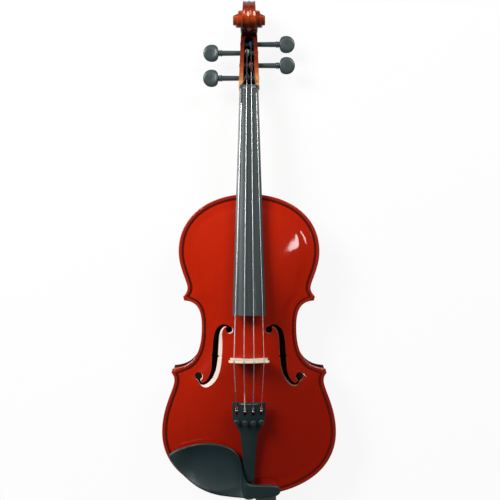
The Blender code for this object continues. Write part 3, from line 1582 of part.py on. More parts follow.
def make_end_button():
    """The tapered button in the bottom block. Its axis points out of the tail."""
    groove = BUTTON_NECK_LENGTH / 2
    front = button_neck_y() - groove
    collar = button_neck_y() + groove
    head, face = BUTTON_HEAD_RADIUS, BUTTON_FACE_RADIUS
    out = front - BUTTON_HEAD_LENGTH
    profile = [
        (0.0, -out),
        (face, -out),
        (head * 0.86, -out - 0.0012),
        (head, -out - BUTTON_HEAD_LENGTH * 0.45),
        (head, -out - BUTTON_HEAD_LENGTH * 0.75),
        (head * 0.8, -front),
        (BUTTON_NECK_RADIUS, -front),
        (BUTTON_NECK_RADIUS, -collar),
        (BUTTON_NECK_RADIUS + 0.0016, -collar),
        (BUTTON_NECK_RADIUS + 0.0016, -OVERHANG + GAP),
        (BUTTON_SHAFT_RADIUS, -OVERHANG + GAP),
        (BUTTON_SHAFT_RADIUS * 0.9, -BUTTON_SHAFT_LENGTH),
        (0.0, -BUTTON_SHAFT_LENGTH),
    ]
    button = turned("end_button", profile, 16, ebony())
    button.rotation_euler.x = math.pi / 2
    button.location = (0, 0, MID_Z)


def make_tailgut():
    """A cord from under the tailpiece, over the saddle and round the end button."""
    x = TAILGUT_HALF_SPACING
    top = saddle_crest() + TAILGUT_RADIUS + GAP
    neck = (BUTTON_NECK_RADIUS + TAILGUT_RADIUS + GAP) * 1.03
    y = button_neck_y()
    start = from_tailpiece((x, -0.0008, -TAILPIECE_CROWN - 0.0026))
    right = [
        tuple(start),
        (x, SADDLE_DEPTH + 0.0025, top + 0.0006),
        (x, SADDLE_DEPTH * 0.45, top),
        (x, GAP, top - 0.0009),
        (x, y + 0.0004, top - 0.0030),
        (x * 1.05, y, top - 0.0065),
        (neck, y, MID_Z + 0.4 * neck),
    ]
    turns = [-math.pi * (k + 0.5) / 7 for k in range(7)]
    loop = [(neck * math.cos(a), y, MID_Z + neck * math.sin(a)) for a in turns]
    left = [(-px, py, pz) for px, py, pz in right[::-1]]
    wire("tailgut", right + loop + left, TAILGUT_RADIUS, nylon())


def tail_edge_y(x):
    """How far the body's lower edge has curved away from the tail at a distance from the middle."""
    run = lower_run(2)
    return float(np.interp(abs(x), [p.x for p in run[:16]], [p.y for p in run[:16]]))


def rest_section(x, low, high, bowl):
    """A section of the chin rest across the arm or the cup, with rounded rims."""
    rim = TOP_EDGE_Z + REST_RISE + REST_THICKNESS
    width = high - low
    ring = []
    for share in (0.0, 0.06, 0.2, 0.4, 0.6, 0.8, 0.94, 1.0):
        dip = bowl * float(smooth_step(1 - abs(2 * share - 1) ** 2))
        edge = 0.0022 if share in (0.0, 1.0) else 0.0004 if share in (0.06, 0.94) else 0.0
        ring.append((x, low + share * width, rim - dip - edge))
    for share in (0.93, 0.7, 0.3, 0.07):
        dip = bowl * float(smooth_step(1 - abs(2 * share - 1) ** 2))
        ring.append((x, low + share * width, rim - REST_THICKNESS - 0.6 * dip))
    return ring


# The chin rest's outline: a distance from the middle, then its lower and upper edges there
REST_OUTLINE = (
    (-0.1062, 0.0590, 0.0650),
    (-0.1035, 0.0550, 0.0678),
    (-0.0960, 0.0483, 0.0708),
    (-0.0840, 0.0380, 0.0738),
    (-0.0690, 0.0263, 0.0757),
    (-0.0540, 0.0168, 0.0757),
    (-0.0400, 0.0112, 0.0725),
    (-0.0290, 0.0078, 0.0663),
    (-0.0190, 0.0050, 0.0575),
    (-0.0120, 0.0032, 0.0470),
    (-0.0070, 0.0022, 0.0345),
    (-0.0035, 0.0016, 0.0245),
    (0.0010, 0.0010, 0.0205),
    (0.0100, 0.0006, 0.0197),
    (0.0200, 0.0010, 0.0194),
    (0.0300, 0.0026, 0.0191),
    (0.0370, 0.0048, 0.0180),
    (0.0405, 0.0076, 0.0158),
    (0.0418, 0.0102, 0.0130),
)


def make_rest(top):
    """The chin rest's cup over the bass side, its arm over the tailpiece and its two feet."""
    rings = []
    for x, low, high in REST_OUTLINE:
        bowl = REST_BOWL * float(smooth_step((high - low - 0.02) / 0.035))
        rings.append(rest_section(x, low, high, bowl))
    rest = solid("chinrest_plate", *loft(rings), composite())
    tree = surface_of(top)
    bottom = TOP_EDGE_Z + REST_RISE + 0.3 * REST_THICKNESS
    for name, low_x, high_x in rest_feet():
        low_y, high_y = foot_span(low_x, high_x)
        spots = [(x, y) for x in (low_x, high_x) for y in (low_y, (low_y + high_y) / 2, high_y)]
        floor = max(height_from(tree, x, y, 0.2, -1) for x, y in spots) + GAP
        box(f"cork_upper_{name}", (low_x, low_y, floor), (high_x, high_y, floor + CORK_THICKNESS), cork())
        foot = box(
            f"rest_foot_{name}",
            (low_x, low_y, floor + CORK_THICKNESS + GAP),
            (high_x, high_y, bottom),
        )
        combine(rest, foot, "UNION")
    tab = box("clamp_tab_slot", *tab_corners(GAP))
    combine(rest, tab, "DIFFERENCE")
    return rest


def rest_feet():
    """The chin rest's feet, either side of the tailpiece."""
    right = CLAMP_X + CLAMP_HALF_SPACING + 0.0025
    return (("bass", -right, -FOOT_INNER_X), ("treble", FOOT_INNER_X, right))


def foot_span(low_x, high_x):
    """Where a foot starts inside the body's edge, and how far it reaches."""
    start = max(tail_edge_y(low_x), tail_edge_y(high_x)) + 0.0012
    return start, start + REST_FOOT_DEPTH


def clamp_y():
    """Distance from the tail of the clamp's two legs, clear of the body's edge."""
    return tail_edge_y(CLAMP_X - CLAMP_HALF_SPACING) - BARREL_RADIUS - CLAMP_CLEARANCE


def clamp_xs():
    return (CLAMP_X - CLAMP_HALF_SPACING, CLAMP_X + CLAMP_HALF_SPACING)


def tab_corners(grow):
    """Corners of the flat tab let into the chin rest's foot, which carries the two upper rods."""
    bottom = TOP_EDGE_Z + REST_RISE - 0.0045
    low_x, high_x = clamp_xs()
    start = clamp_y() - CLAMP_ROD_RADIUS - 0.0012
    end = foot_span(FOOT_INNER_X, high_x)[0] + 0.006
    low = (low_x - 0.0022 - grow, start - grow, bottom - grow)
    high = (high_x + 0.0022 + grow, end + grow, bottom + BRACKET_THICKNESS + grow)
    return low, high


def clamp_rod(name, x, low, high):
    rod = cylinder(name, CLAMP_ROD_RADIUS, high - low, 12)
    rod.location = (x, clamp_y(), (low + high) / 2)
    return rod


def make_clamp(back):
    """The clamp: an upper tab and a lower bracket with two rods each, and two barrels."""
    low_corner, high_corner = tab_corners(0.0)
    tab = box("chinrest_clamp_tab", low_corner, high_corner, steel())
    barrel_top = MID_Z + BARREL_LENGTH / 2
    barrel_low = MID_Z - BARREL_LENGTH / 2
    tree = surface_of(back)
    low_x, high_x = clamp_xs()
    start, _ = foot_span(FOOT_INNER_X, high_x)
    spots = [(x, y) for x in (low_x, high_x) for y in (start, start + BRACKET_REACH / 2)]
    ceiling = min(height_from(tree, x, y, -0.1, 1) for x, y in spots) - GAP
    box(
        "cork_lower",
        (low_x - 0.0025, start, ceiling - CORK_THICKNESS),
        (high_x + 0.0025, start + BRACKET_REACH / 2, ceiling),
        cork(),
    )
    face = ceiling - CORK_THICKNESS - GAP
    bracket = box(
        "chinrest_bracket",
        (low_x - 0.003, low_corner[1], face - BRACKET_THICKNESS),
        (high_x + 0.003, start + BRACKET_REACH / 2, face),
        steel(),
    )
    for i, x in enumerate((low_x, high_x)):
        upper = clamp_rod(f"upper_rod_{i}", x, barrel_top - BARREL_ENGAGEMENT, low_corner[2] + 0.001)
        combine(tab, upper, "UNION")
        lower = clamp_rod(f"lower_rod_{i}", x, face - 0.001, barrel_low + BARREL_ENGAGEMENT)
        combine(bracket, lower, "UNION")
        bore = CLAMP_ROD_RADIUS + GAP
        half = BARREL_LENGTH / 2
        barrel = turned_tube(f"chinrest_barrel_{i + 1}", BARREL_RADIUS, bore, half, -half, 14, steel())
        barrel.location = (x, clamp_y(), MID_Z)
        key = cylinder(f"key_hole_{i}", 0.0008, 4 * BARREL_RADIUS, 8, None, barrel)
        key.rotation_euler.y = math.pi / 2
        combine(barrel, key, "DIFFERENCE")


def seat_assembly():
    """Moves the origin to the middle of the footprint, at the lowest point."""
    bpy.context.view_layer.update()
    graph = bpy.context.evaluated_depsgraph_get()
    low = Vector((1e9, 1e9, 1e9))
    high = -low
    for item in PARTS.objects:
        if item.type == "EMPTY":
            continue
        evaluated = item.evaluated_get(graph)
        mesh = evaluated.to_mesh()
        for point in mesh.vertices:
            place_of = item.matrix_world @ point.co
            low = Vector(map(min, low, place_of))
            high = Vector(map(max, high, place_of))
        evaluated.to_mesh_clear()
    ASSEMBLY.location = (-(low.x + high.x) / 2, -(low.y + high.y) / 2, -low.z)


def build():
    top = plate("top_plate", top_outline(), TOP_GLUE_Z, 1, TOP_ARCH, TOP_THICKNESS)
    back = plate("back_plate", back_outline(), BACK_GLUE_Z, -1, BACK_ARCH, BACK_THICKNESS)
    make_ribs()
    make_corner_blocks()
    bottom_block, top_block = make_end_blocks()
    tail_ribs = [bpy.data.objects[f"rib_lower_{side}"] for side in ("bass", "treble")]
    drill_for_button([bottom_block, *tail_ribs])
    make_bass_bar(top)
    make_sound_post(top, back)
    make_bridge(top)
    cut_sound_holes(top)
    make_saddle(top)
    make_neck()
    socket = root_cutter()
    combine(top, socket, "DIFFERENCE")
    combine(top_block, socket, "DIFFERENCE")
    make_fingerboard()
    make_nut()
    frame = tailpiece_frame()
    make_tailpiece(frame)
    make_fret(frame)
    make_axle(frame)
    for i in range(4):
        make_tuner(i, frame)
        make_peg(i)
    make_strings()
    make_end_button()
    make_tailgut()
    make_rest(top)
    make_clamp(back)
    seat_assembly()


build()
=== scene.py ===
import json
import math

import bmesh
import bpy
import numpy as np
from mathutils import Matrix, Quaternion, Vector
from mathutils.bvhtree import BVHTree


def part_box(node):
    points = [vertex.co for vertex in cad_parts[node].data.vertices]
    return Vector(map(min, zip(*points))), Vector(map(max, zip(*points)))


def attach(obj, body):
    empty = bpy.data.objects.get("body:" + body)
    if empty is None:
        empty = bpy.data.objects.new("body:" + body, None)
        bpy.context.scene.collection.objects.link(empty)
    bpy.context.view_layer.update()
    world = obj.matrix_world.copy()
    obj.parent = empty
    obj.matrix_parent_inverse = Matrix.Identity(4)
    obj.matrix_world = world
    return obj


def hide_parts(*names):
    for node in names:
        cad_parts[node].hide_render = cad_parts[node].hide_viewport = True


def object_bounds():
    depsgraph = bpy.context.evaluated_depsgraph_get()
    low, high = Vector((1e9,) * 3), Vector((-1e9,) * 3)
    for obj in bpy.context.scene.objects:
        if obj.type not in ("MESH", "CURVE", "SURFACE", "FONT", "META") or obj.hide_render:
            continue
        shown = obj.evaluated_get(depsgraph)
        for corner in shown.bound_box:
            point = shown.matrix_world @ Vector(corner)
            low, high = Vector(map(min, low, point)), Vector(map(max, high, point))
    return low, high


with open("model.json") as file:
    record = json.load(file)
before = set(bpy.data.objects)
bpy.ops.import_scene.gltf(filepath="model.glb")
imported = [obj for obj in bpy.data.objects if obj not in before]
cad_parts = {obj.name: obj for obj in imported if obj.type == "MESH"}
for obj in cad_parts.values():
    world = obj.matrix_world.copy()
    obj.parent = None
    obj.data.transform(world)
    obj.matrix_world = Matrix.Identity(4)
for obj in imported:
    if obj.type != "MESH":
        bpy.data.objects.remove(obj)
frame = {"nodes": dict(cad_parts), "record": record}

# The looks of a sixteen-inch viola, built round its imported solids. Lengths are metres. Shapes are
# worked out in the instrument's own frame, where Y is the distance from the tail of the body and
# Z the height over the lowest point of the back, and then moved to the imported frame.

CAD_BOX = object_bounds()

# Clearance between pieces that touch
GAP = 0.0003

# Body outline, as half widths and as shares of the body's length from its tail
BODY_LENGTH = 0.406
LOWER_BOUT_HALF, LOWER_BOUT_SHARE = 0.117, 0.2118
LOWER_PINCH_HALF, LOWER_PINCH_SHARE = 0.1005, 0.3818
LOWER_CORNER_HALF, LOWER_CORNER_SHARE = 0.1044, 0.4076
WAIST_HALF, WAIST_SHARE = 0.0636, 0.5591
UPPER_CORNER_HALF, UPPER_CORNER_SHARE = 0.0887, 0.6601
UPPER_PINCH_HALF, UPPER_PINCH_SHARE = 0.0828, 0.6897
UPPER_BOUT_HALF, UPPER_BOUT_SHARE = 0.0948, 0.8079
CORNER_FACE = 0.0055
CORNER_LEAN = 0.0015

# Plates, purfling and ribs
EDGE_THICKNESS = 0.0045
EDGE_ROUNDING = 0.0016
CHANNEL_DISTANCE = 0.0048
CHANNEL_DEPTH = 0.0006
CHANNEL_END = 2.3 * CHANNEL_DISTANCE
MARGIN_WIDTH = 0.0078
# The purfling is drawn as a dark band wider than the inlay, and the part beyond the inlay is painted shade in
# the channel.
PURFLING_WAIST_DISTANCE = 0.0060
PURFLING_BOUT_DISTANCE = 0.0072
PURFLING_AND_SHADE_WIDTH = 0.0038
RIB_HEIGHT = 0.037
RIB_THICKNESS = 0.0012
OVERHANG = 0.0028
LINING_WIDTH = 0.002
LINING_HEIGHT = 0.007
TOP_ARCH, TOP_THICKNESS = 0.0135, 0.003
BACK_ARCH, BACK_THICKNESS = 0.0125, 0.004
BUTTON_HALF = 0.0112
BUTTON_LENGTH = 0.0135
BLOCK_HALF = 0.026
BOTTOM_BLOCK_HALF = BLOCK_HALF + 0.001
NECK_BLOCK_REACH = 0.0135
SPINE_BEND, SPINE_LOW, SPINE_HIGH = 0.06, 0.022, 0.02

# Sound holes, as steps from the middle of the stem
SOUND_HOLE_X = 0.0452
UPPER_EYE_RADIUS, UPPER_EYE_STEP = 0.0044, (-0.0186, 0.0362)
LOWER_EYE_RADIUS, LOWER_EYE_STEP = 0.0051, (0.0228, -0.0268)
STEM_HALF_WIDTH = 0.004
NICK_DEPTH, NICK_HALF = 0.0024, 0.0014
SLOPE_DEPTH = 0.0021
BASS_SLOPE = 0.0056
TREBLE_SLOPE = 0.0017
EYE_SLOPE = 0.0012

# Neck, fingerboard and nut
NECK_LENGTH = 0.1426
NECK_SLOPE = 0.118
NECK_RISE = 0.008
NECK_DEPTH = 0.0145
NECK_ROOT_HALF = 0.0165
NECK_ROOT_DEPTH = 0.0095
HEEL_CURVE = 0.004
SECTION_STEPS = 36
BOARD_SHARE = 0.8436
BOARD_NUT_HALF, BOARD_END_HALF = 0.0127, 0.022
BOARD_EDGE = 0.005
BOARD_RADIUS = 0.041
BOARD_HOLLOW = 0.0035
NUT_WIDTH = 0.0052
NUT_RISE = 0.0009
NUT_FALL = 0.0017
NUT_FAN = 0.94

# Pegbox and scroll
PEGBOX_LENGTH = 0.0775
PEGBOX_NUT_HALF, PEGBOX_END_HALF = 0.0142, 0.0112
PEGBOX_FALL = 0.016
CHIN_DEPTH, CHIN_START, CHIN_RUN = 0.0265, 0.004, 0.014
CAVITY_NUT_HALF, CAVITY_END_HALF = 0.0083, 0.0061
CAVITY_FLOOR = 0.0055
SCROLL_REACH = 0.0184
SCROLL_DROP = 0.0048
SCROLL_RADIUS = 0.0323
SCROLL_SHRINK = 0.108
SCROLL_TURNS = 2.25
SCROLL_START_WIDTH, SCROLL_TOP_WIDTH, SCROLL_EYE_WIDTH = 0.0205, 0.0162, 0.0434
SCROLL_FLUTE = 0.0013
SCROLL_HOLLOW = 0.0022
SCROLL_BEVEL = 0.0007

# Pegs
PEG_REACHES = (0.0174, 0.0355, 0.0533, 0.0659)
PEG_DROP = 0.0125
PEG_SMALL_RADIUS, PEG_LARGE_RADIUS = 0.0031, 0.0037
PEG_COLLAR_X, PEG_COLLAR_LENGTH = 0.0372, 0.0045
PEG_HEAD_LENGTH, PEG_HEAD_WIDTH, PEG_HEAD_THICKNESS = 0.0215, 0.024, 0.0095
PEG_ORDER = (0, 3, 1, 2)
PEG_SIDES = (-1, -1, 1, 1)
WINDING_WIDTH = 0.005
WINDING_OFFSET = 0.0028

# How far along a peg's collar, and how wide there in shaft radii
COLLAR_SWELLS = (
    (0.0, 1.06), (0.08, 1.2), (0.2, 1.26), (0.36, 1.2), (0.44, 1.02),
    (0.52, 1.02), (0.6, 1.18), (0.72, 1.22), (0.84, 1.12), (0.94, 0.95),
)

# Strings from the bass side
STRING_NAMES = ("c", "g", "d", "a")
STRING_RADII = (0.00058, 0.00046, 0.0004, 0.00032)
NUT_SPAN, BRIDGE_SPAN, TAILPIECE_SPAN = 0.0195, 0.039, 0.0325
PEG_SILK, TAIL_SILK = 0.052, 0.027
SILK_THICKNESS = 0.00012

# Bridge
BRIDGE_SHARE = 0.4635
BRIDGE_STRING_RISE = 0.0178
BRIDGE_RADIUS = 0.043
BRIDGE_FOOT_HALF, BRIDGE_FOOT_LENGTH = 0.0252, 0.0130
BRIDGE_FOOT_THICKNESS, BRIDGE_TOP_THICKNESS = 0.0034, 0.0018
BRIDGE_SETBACK, BRIDGE_LEAN = 0.003, -0.0008

# Saddle, tailpiece and tuners
SADDLE_HALF, SADDLE_DEPTH, SADDLE_RISE = 0.017, 0.006, 0.007
TAILPIECE_END_Y = 0.021
TAILPIECE_LENGTH = 0.113
TAILPIECE_HEAD_HALF, TAILPIECE_WAIST_HALF, TAILPIECE_TAIL_HALF = 0.0224, 0.0112, 0.0072
TAILPIECE_WAIST_SHARE, TAILPIECE_SHOULDER_SHARE = 0.5664, 0.8142
TAILPIECE_DEPTH, TAILPIECE_TAIL_DEPTH = 0.0135, 0.0055
TAILPIECE_RADIUS = 0.044
TAILPIECE_CROWN = 0.0015
TAILPIECE_SHELL = 0.002
TAILPIECE_TRIM, TAILPIECE_UNDERCUT = 0.0014, 0.3
FRET_SETBACK = 0.0025
FRET_HALF, FRET_HALF_WIDTH, FRET_DEPTH = 0.62 * TAILPIECE_HEAD_HALF, 0.0006, 0.0004
AXLE_SETBACK, AXLE_DROP, AXLE_RADIUS = 0.0155, 0.0105, 0.001
HOOK_REACH = 0.0065
TUNER_SCREW_REACH, TUNER_ARM_END = 0.0105, 0.0018
TUNER_SCREW_RADIUS, TUNER_KNOB_RADIUS, TUNER_KNOB_HEIGHT = 0.0013, 0.0036, 0.0042
TUNER_TRAVEL, TUNER_CLEARANCE = 0.003, 0.0011
LEVER_THICKNESS = 0.0026
BALL_PROFILE = (
    (0.0007, -0.0013), (0.0013, -0.0011), (0.0015, -0.0005),
    (0.0015, 0.0005), (0.0013, 0.0011), (0.0007, 0.0013),
)
TAILGUT_RADIUS, TAILGUT_HALF_SPACING = 0.0011, 0.0045

# End button
BUTTON_SHAFT_RADIUS = 0.0039
BUTTON_NECK_RADIUS, BUTTON_NECK_LENGTH = 0.0046, 0.003
BUTTON_HEAD_RADIUS, BUTTON_HEAD_LENGTH = 0.008, 0.007
BUTTON_FACE_RADIUS = 0.005

# Chin rest
REST_RISE = 0.0135
REST_THICKNESS = 0.0068
REST_BOWL = 0.0075
REST_RIM = 0.0026
REST_STEPS = 150
ROD_RADIUS = 0.0016
CLAMP_PLATE = 0.0022

# The chin rest's outline: a distance from the middle, then its lower and upper edges there
REST_OUTLINE = (
    (-0.1060, 0.0545, 0.0588),
    (-0.1030, 0.0505, 0.0622),
    (-0.0960, 0.0415, 0.0662),
    (-0.0840, 0.0287, 0.0699),
    (-0.0690, 0.0166, 0.0737),
    (-0.0540, 0.0093, 0.0748),
    (-0.0400, 0.0053, 0.0733),
    (-0.0290, 0.0037, 0.0704),
    (-0.0200, 0.0026, 0.0650),
    (-0.0140, 0.0021, 0.0580),
    (-0.0106, 0.0018, 0.0500),
    (-0.0088, 0.0016, 0.0400),
    (-0.0068, 0.0014, 0.0310),
    (-0.0035, 0.0012, 0.0240),
    (0.0010, 0.0010, 0.0208),
    (0.0100, 0.0006, 0.0197),
    (0.0200, 0.0010, 0.0194),
    (0.0300, 0.0026, 0.0191),
    (0.0370, 0.0048, 0.0180),
    (0.0405, 0.0076, 0.0158),
    (0.0418, 0.0102, 0.0130),
)

# How wide its sloping lower flank is at a distance from the middle, and how far that drops
REST_FLANK = ((-0.066, 0.001), (-0.042, 0.005), (-0.024, 0.0105), (-0.010, 0.016), (0.042, 0.018))
REST_FLANK_DROP = 0.0024

# Profiles of the tuner knobs and the clamp's barrels, as shares of their radius and length
KNOB_PROFILE = (
    (0.75, 0.0), (0.97, 0.1), (1.0, 0.2), (1.0, 0.78),
    (0.96, 0.9), (0.84, 0.97), (0.6, 1.0), (0.2, 1.0),
)
BARREL_PROFILE = (
    (0.9, -1.0), (1.0, -0.96), (1.0, -0.72), (0.94, -0.69),
    (0.94, 0.69), (1.0, 0.72), (1.0, 0.96), (0.9, 1.0),
)

# Levels worked out from the sizes above
BACK_GLUE_Z = BACK_ARCH + EDGE_THICKNESS
TOP_GLUE_Z = BACK_GLUE_Z + RIB_HEIGHT
TOP_EDGE_Z = TOP_GLUE_Z + EDGE_THICKNESS
MID_Z = (BACK_GLUE_Z + TOP_GLUE_Z) / 2
WAIST_Y = WAIST_SHARE * BODY_LENGTH
BRIDGE_Y = BRIDGE_SHARE * BODY_LENGTH
BRIDGE_SEAT_Y = BRIDGE_Y - BRIDGE_SETBACK
NUT_Y = BODY_LENGTH + NECK_LENGTH
BOARD_LENGTH = BOARD_SHARE * (NUT_Y - BRIDGE_Y)
PEGBOX_END_Y = NUT_Y + PEGBOX_LENGTH
SCROLL_Y = PEGBOX_END_Y + SCROLL_REACH
NECK_Z = TOP_EDGE_Z + NECK_RISE
SCROLL_Z = NECK_Z - NECK_SLOPE * (PEGBOX_END_Y - BODY_LENGTH) - SCROLL_DROP
BRIDGE_STRING_HEIGHT = NECK_Z + NECK_SLOPE * (BODY_LENGTH - BRIDGE_Y) + BRIDGE_STRING_RISE
FRET_REACH = TAILPIECE_LENGTH - FRET_SETBACK
AXLE_REACH = TAILPIECE_LENGTH - AXLE_SETBACK
BRIDGE_XS, NUT_XS, TAILPIECE_XS = (
    [length * (i / 3 - 0.5) for i in range(4)] for length in (BRIDGE_SPAN, NUT_SPAN, TAILPIECE_SPAN)
)

# Where the photograph was taken from
CAMERA_PLACE = (0.0013, -0.0003, 1.3085)
CAMERA_LENS = 66.96

# The lamps: name, place, target, size across and along, power, and turn about their own axis
LAMPS = (
    ("key", (-1.45, 1.15, 1.65), (0, -0.05, 0.05), (1.2, 1.2), 63, 0),
    ("fill", (1.2, 1.5, 1.6), (0, 0, 0.05), (1.2, 1.2), 26, 0),
    ("shine", (0.5, 0.175, 1.31), (0.055, 0.01, 0.06), (0.05, 0.17), 0.4, 83),
)
SURROUND_LIGHT, SURROUND_SEEN = 0.07, 1.0
FLOOR_HALF, FLOOR_DROP, FLOOR_GLOW = 4, 0.0005, 0.9

# The instrument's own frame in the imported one
TAIL_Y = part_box("back_plate")[0].y
PLACE = Matrix.Translation((0, TAIL_Y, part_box("rib_waist_bass")[0].z - GAP - BACK_GLUE_Z))

# A level above every surface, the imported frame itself, a turn of the Z axis onto X, and the place
# whose Z axis points out of the tail along the end button
ABOVE_ALL = 0.2
WORLD = Matrix.Identity(4)
Z_TO_X = Matrix.Rotation(math.pi / 2, 4, "Y")
BUTTON_PLACE = PLACE @ Matrix.Translation((0, 0, MID_Z)) @ Matrix.Rotation(math.pi / 2, 4, "X")

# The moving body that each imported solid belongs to
BODY_OF = {node: body for body, nodes in frame["record"]["behaviour"]["bodies"].items() for node in nodes}


class Finish:
    """A Principled material and the steps that its pattern is made of."""

    def __init__(self, name, slot, **values):
        self.material = bpy.data.materials.new(name)
        self.material.use_nodes = True
        self.material["slot"] = slot
        self.tree = self.material.node_tree
        self.shader = self.tree.nodes["Principled BSDF"]
        for key, value in values.items():
            self.shader.inputs[key.replace("_", " ").title().replace("Ior", "IOR")].default_value = value

    def node(self, kind, inputs, output=0, **settings):
        made = self.tree.nodes.new(kind)
        for key, value in settings.items():
            setattr(made, key, value)
        for key, value in inputs.items():
            if isinstance(value, bpy.types.NodeSocket):
                self.tree.links.new(value, made.inputs[key])
            else:
                made.inputs[key].default_value = value
        return made.outputs[output]

    def place(self, stretch=(1, 1, 1), turn=(0, 0, 0)):
        """The piece's own coordinates, stretched so that a pattern runs along the grain."""
        own = self.node("ShaderNodeTexCoord", {}, "Object")
        return self.node("ShaderNodeMapping", {"Vector": own, "Scale": stretch, "Rotation": turn})

    def axis(self, name):
        """The piece's own coordinate along one axis."""
        return self.node("ShaderNodeSeparateXYZ", {"Vector": self.place()}, name)

    def noise(self, vector, scale, detail=3.0, roughness=0.5):
        values = {"Vector": vector, "Scale": scale, "Detail": detail, "Roughness": roughness}
        return self.node("ShaderNodeTexNoise", values)

    def ramp(self, value, stops):
        made = self.tree.nodes.new("ShaderNodeValToRGB")
        self.tree.links.new(value, made.inputs["Fac"])
        band = made.color_ramp.elements
        while len(band) < len(stops):
            band.new(0.5)
        for element, (position, colour) in zip(band, stops):
            element.position = position
            element.color = (*colour, 1.0)
        return made.outputs["Color"]

    def mix(self, share, first, second, blend="MIX"):
        inputs = {0: share}
        for index, value in ((6, first), (7, second)):
            inputs[index] = value if isinstance(value, bpy.types.NodeSocket) else (*value, 1.0)
        return self.node("ShaderNodeMix", inputs, 2, data_type="RGBA", blend_type=blend)

    def sum(self, first, second, operation="ADD"):
        return self.node("ShaderNodeMath", {0: first, 1: second}, operation=operation)

    def spread(self, value, low, high):
        """A 0 to 1 pattern moved to lie between two values."""
        return self.node("ShaderNodeMapRange", {"Value": value, "To Min": low, "To Max": high})

    def colour(self, socket):
        self.tree.links.new(socket, self.shader.inputs["Base Color"])

    def roughness(self, socket):
        self.tree.links.new(socket, self.shader.inputs["Roughness"])

    def bump(self, height, strength, distance):
        normal = self.node("ShaderNodeBump", {"Height": height, "Strength": strength, "Distance": distance})
        self.tree.links.new(normal, self.shader.inputs["Normal"])


# What every varnished finish has
VARNISHED = {"roughness": 0.4, "coat_weight": 0.75, "specular_ior_level": 0.04}


def varnished_spruce(name, bright, deep, deep_varnish_and_shade):
    """Thick glossy varnish over close vertical grain, deeper toward the treble lower bout, partly a deeper
    varnish and partly painted shade.
    """
    finish = Finish(name, "varnished_spruce", coat_roughness=0.045, **VARNISHED)
    grain = finish.noise(finish.place((1, 0.012, 1)), 900, 2.0)
    cloud = finish.noise(finish.place((1, 0.45, 1)), 11, 3.0)
    streaked = finish.mix(finish.spread(grain, 0.0, 0.85), bright, deep)
    clouded = finish.mix(finish.spread(cloud, 0.0, 0.5), streaked, deep)
    across = finish.axis("X")
    along = finish.axis("Y")
    # Painted shade, partly: the colour fades into the deeper tone toward the treble lower bout, where the
    # lamps' light falls off.
    lean = finish.sum(finish.sum(across, 2.6, "MULTIPLY"), finish.sum(along, -2.4, "MULTIPLY"))
    fade = finish.node(
        "ShaderNodeMapRange",
        {"Value": lean, "From Min": -0.15, "From Max": 0.75, "To Min": 0.0, "To Max": 0.78},
        interpolation_type="SMOOTHSTEP",
    )
    finish.colour(finish.mix(fade, clouded, deep_varnish_and_shade))
    finish.roughness(finish.spread(cloud, 0.28, 0.4))
    ripple = finish.noise(finish.place((1, 0.4, 1)), 60, 2.0)
    finish.bump(finish.sum(finish.sum(grain, 0.08, "MULTIPLY"), ripple), 0.12, 0.0003)
    return finish.material


def flamed_maple(name, stretch, bright, deep):
    """Varnished maple whose figure crosses the grain in soft bands."""
    finish = Finish(name, "varnished_maple", coat_roughness=0.05, **VARNISHED)
    figure = finish.noise(finish.place(stretch), 110, 1.5, 0.35)
    fleck = finish.noise(finish.place([0.12 if side > 0.5 else 1 for side in stretch]), 700, 2.0)
    banded = finish.ramp(figure, ((0.33, deep), (0.5, bright), (0.66, deep)))
    finish.colour(finish.mix(finish.spread(fleck, 0.0, 0.5), banded, deep))
    finish.roughness(finish.spread(figure, 0.26, 0.38))
    finish.bump(fleck, 0.06, 0.0003)
    return finish.material


def neck_maple_and_painted_light():
    """Flamed maple, golden by the nut and darker red toward the top of the pegbox, with a painted highlight
    in the gold and painted shade over the scroll's top.
    """
    finish = Finish("varnished_maple_neck_and_painted_light", "varnished_maple", coat_roughness=0.06, **VARNISHED)
    along = finish.axis("Y")
    nut, top = TAIL_Y + NUT_Y, TAIL_Y + SCROLL_Y + SCROLL_RADIUS
    share = finish.node("ShaderNodeMapRange", {"Value": along, "From Min": nut, "From Max": top})
    # Painted light along the ramp: the gold by the nut is partly a painted highlight on the cheeks, and the
    # dark last stop over the scroll's top is painted shade.
    stops = [(0.0, (0.8, 0.47, 0.2)), (0.09, (0.72, 0.33, 0.12)), (0.19, (0.42, 0.1, 0.026))]
    stops += [(0.33, (0.26, 0.034, 0.007)), (0.48, (0.13, 0.012, 0.003)), (0.67, (0.07, 0.006, 0.002))]
    stops += [(0.77, (0.6, 0.08, 0.01)), (0.84, (0.26, 0.022, 0.004)), (0.92, (0.08, 0.006, 0.002))]
    tint = finish.ramp(share, stops)
    figure = finish.noise(finish.place((0.3, 1, 0.3)), 120, 1.5, 0.35)
    band = finish.ramp(figure, ((0.35, (0.6, 0.5, 0.45)), (0.5, (1, 1, 1)), (0.65, (0.6, 0.5, 0.45))))
    finish.colour(finish.mix(0.7, tint, band, "MULTIPLY"))
    finish.roughness(finish.spread(figure, 0.32, 0.42))
    finish.bump(finish.noise(finish.place((1, 0.1, 1)), 700, 2.0), 0.05, 0.0003)
    return finish.material


def bare_wood(name, slot, light, dark, stretch, scale=700):
    """Unvarnished wood with fine straight grain and small pores."""
    finish = Finish(name, slot, roughness=0.6)
    grain = finish.noise(finish.place(stretch), scale, 3.0)
    pore = finish.noise(finish.place([min(side * 3, 1) for side in stretch]), 3 * scale, 2.0)
    tinted = finish.mix(finish.spread(grain, 0.0, 1.0), light, dark)
    finish.colour(finish.mix(finish.spread(pore, 0.0, 0.35), tinted, dark))
    finish.roughness(finish.spread(grain, 0.5, 0.7))
    finish.bump(grain, 0.25, 0.0002)
    return finish.material


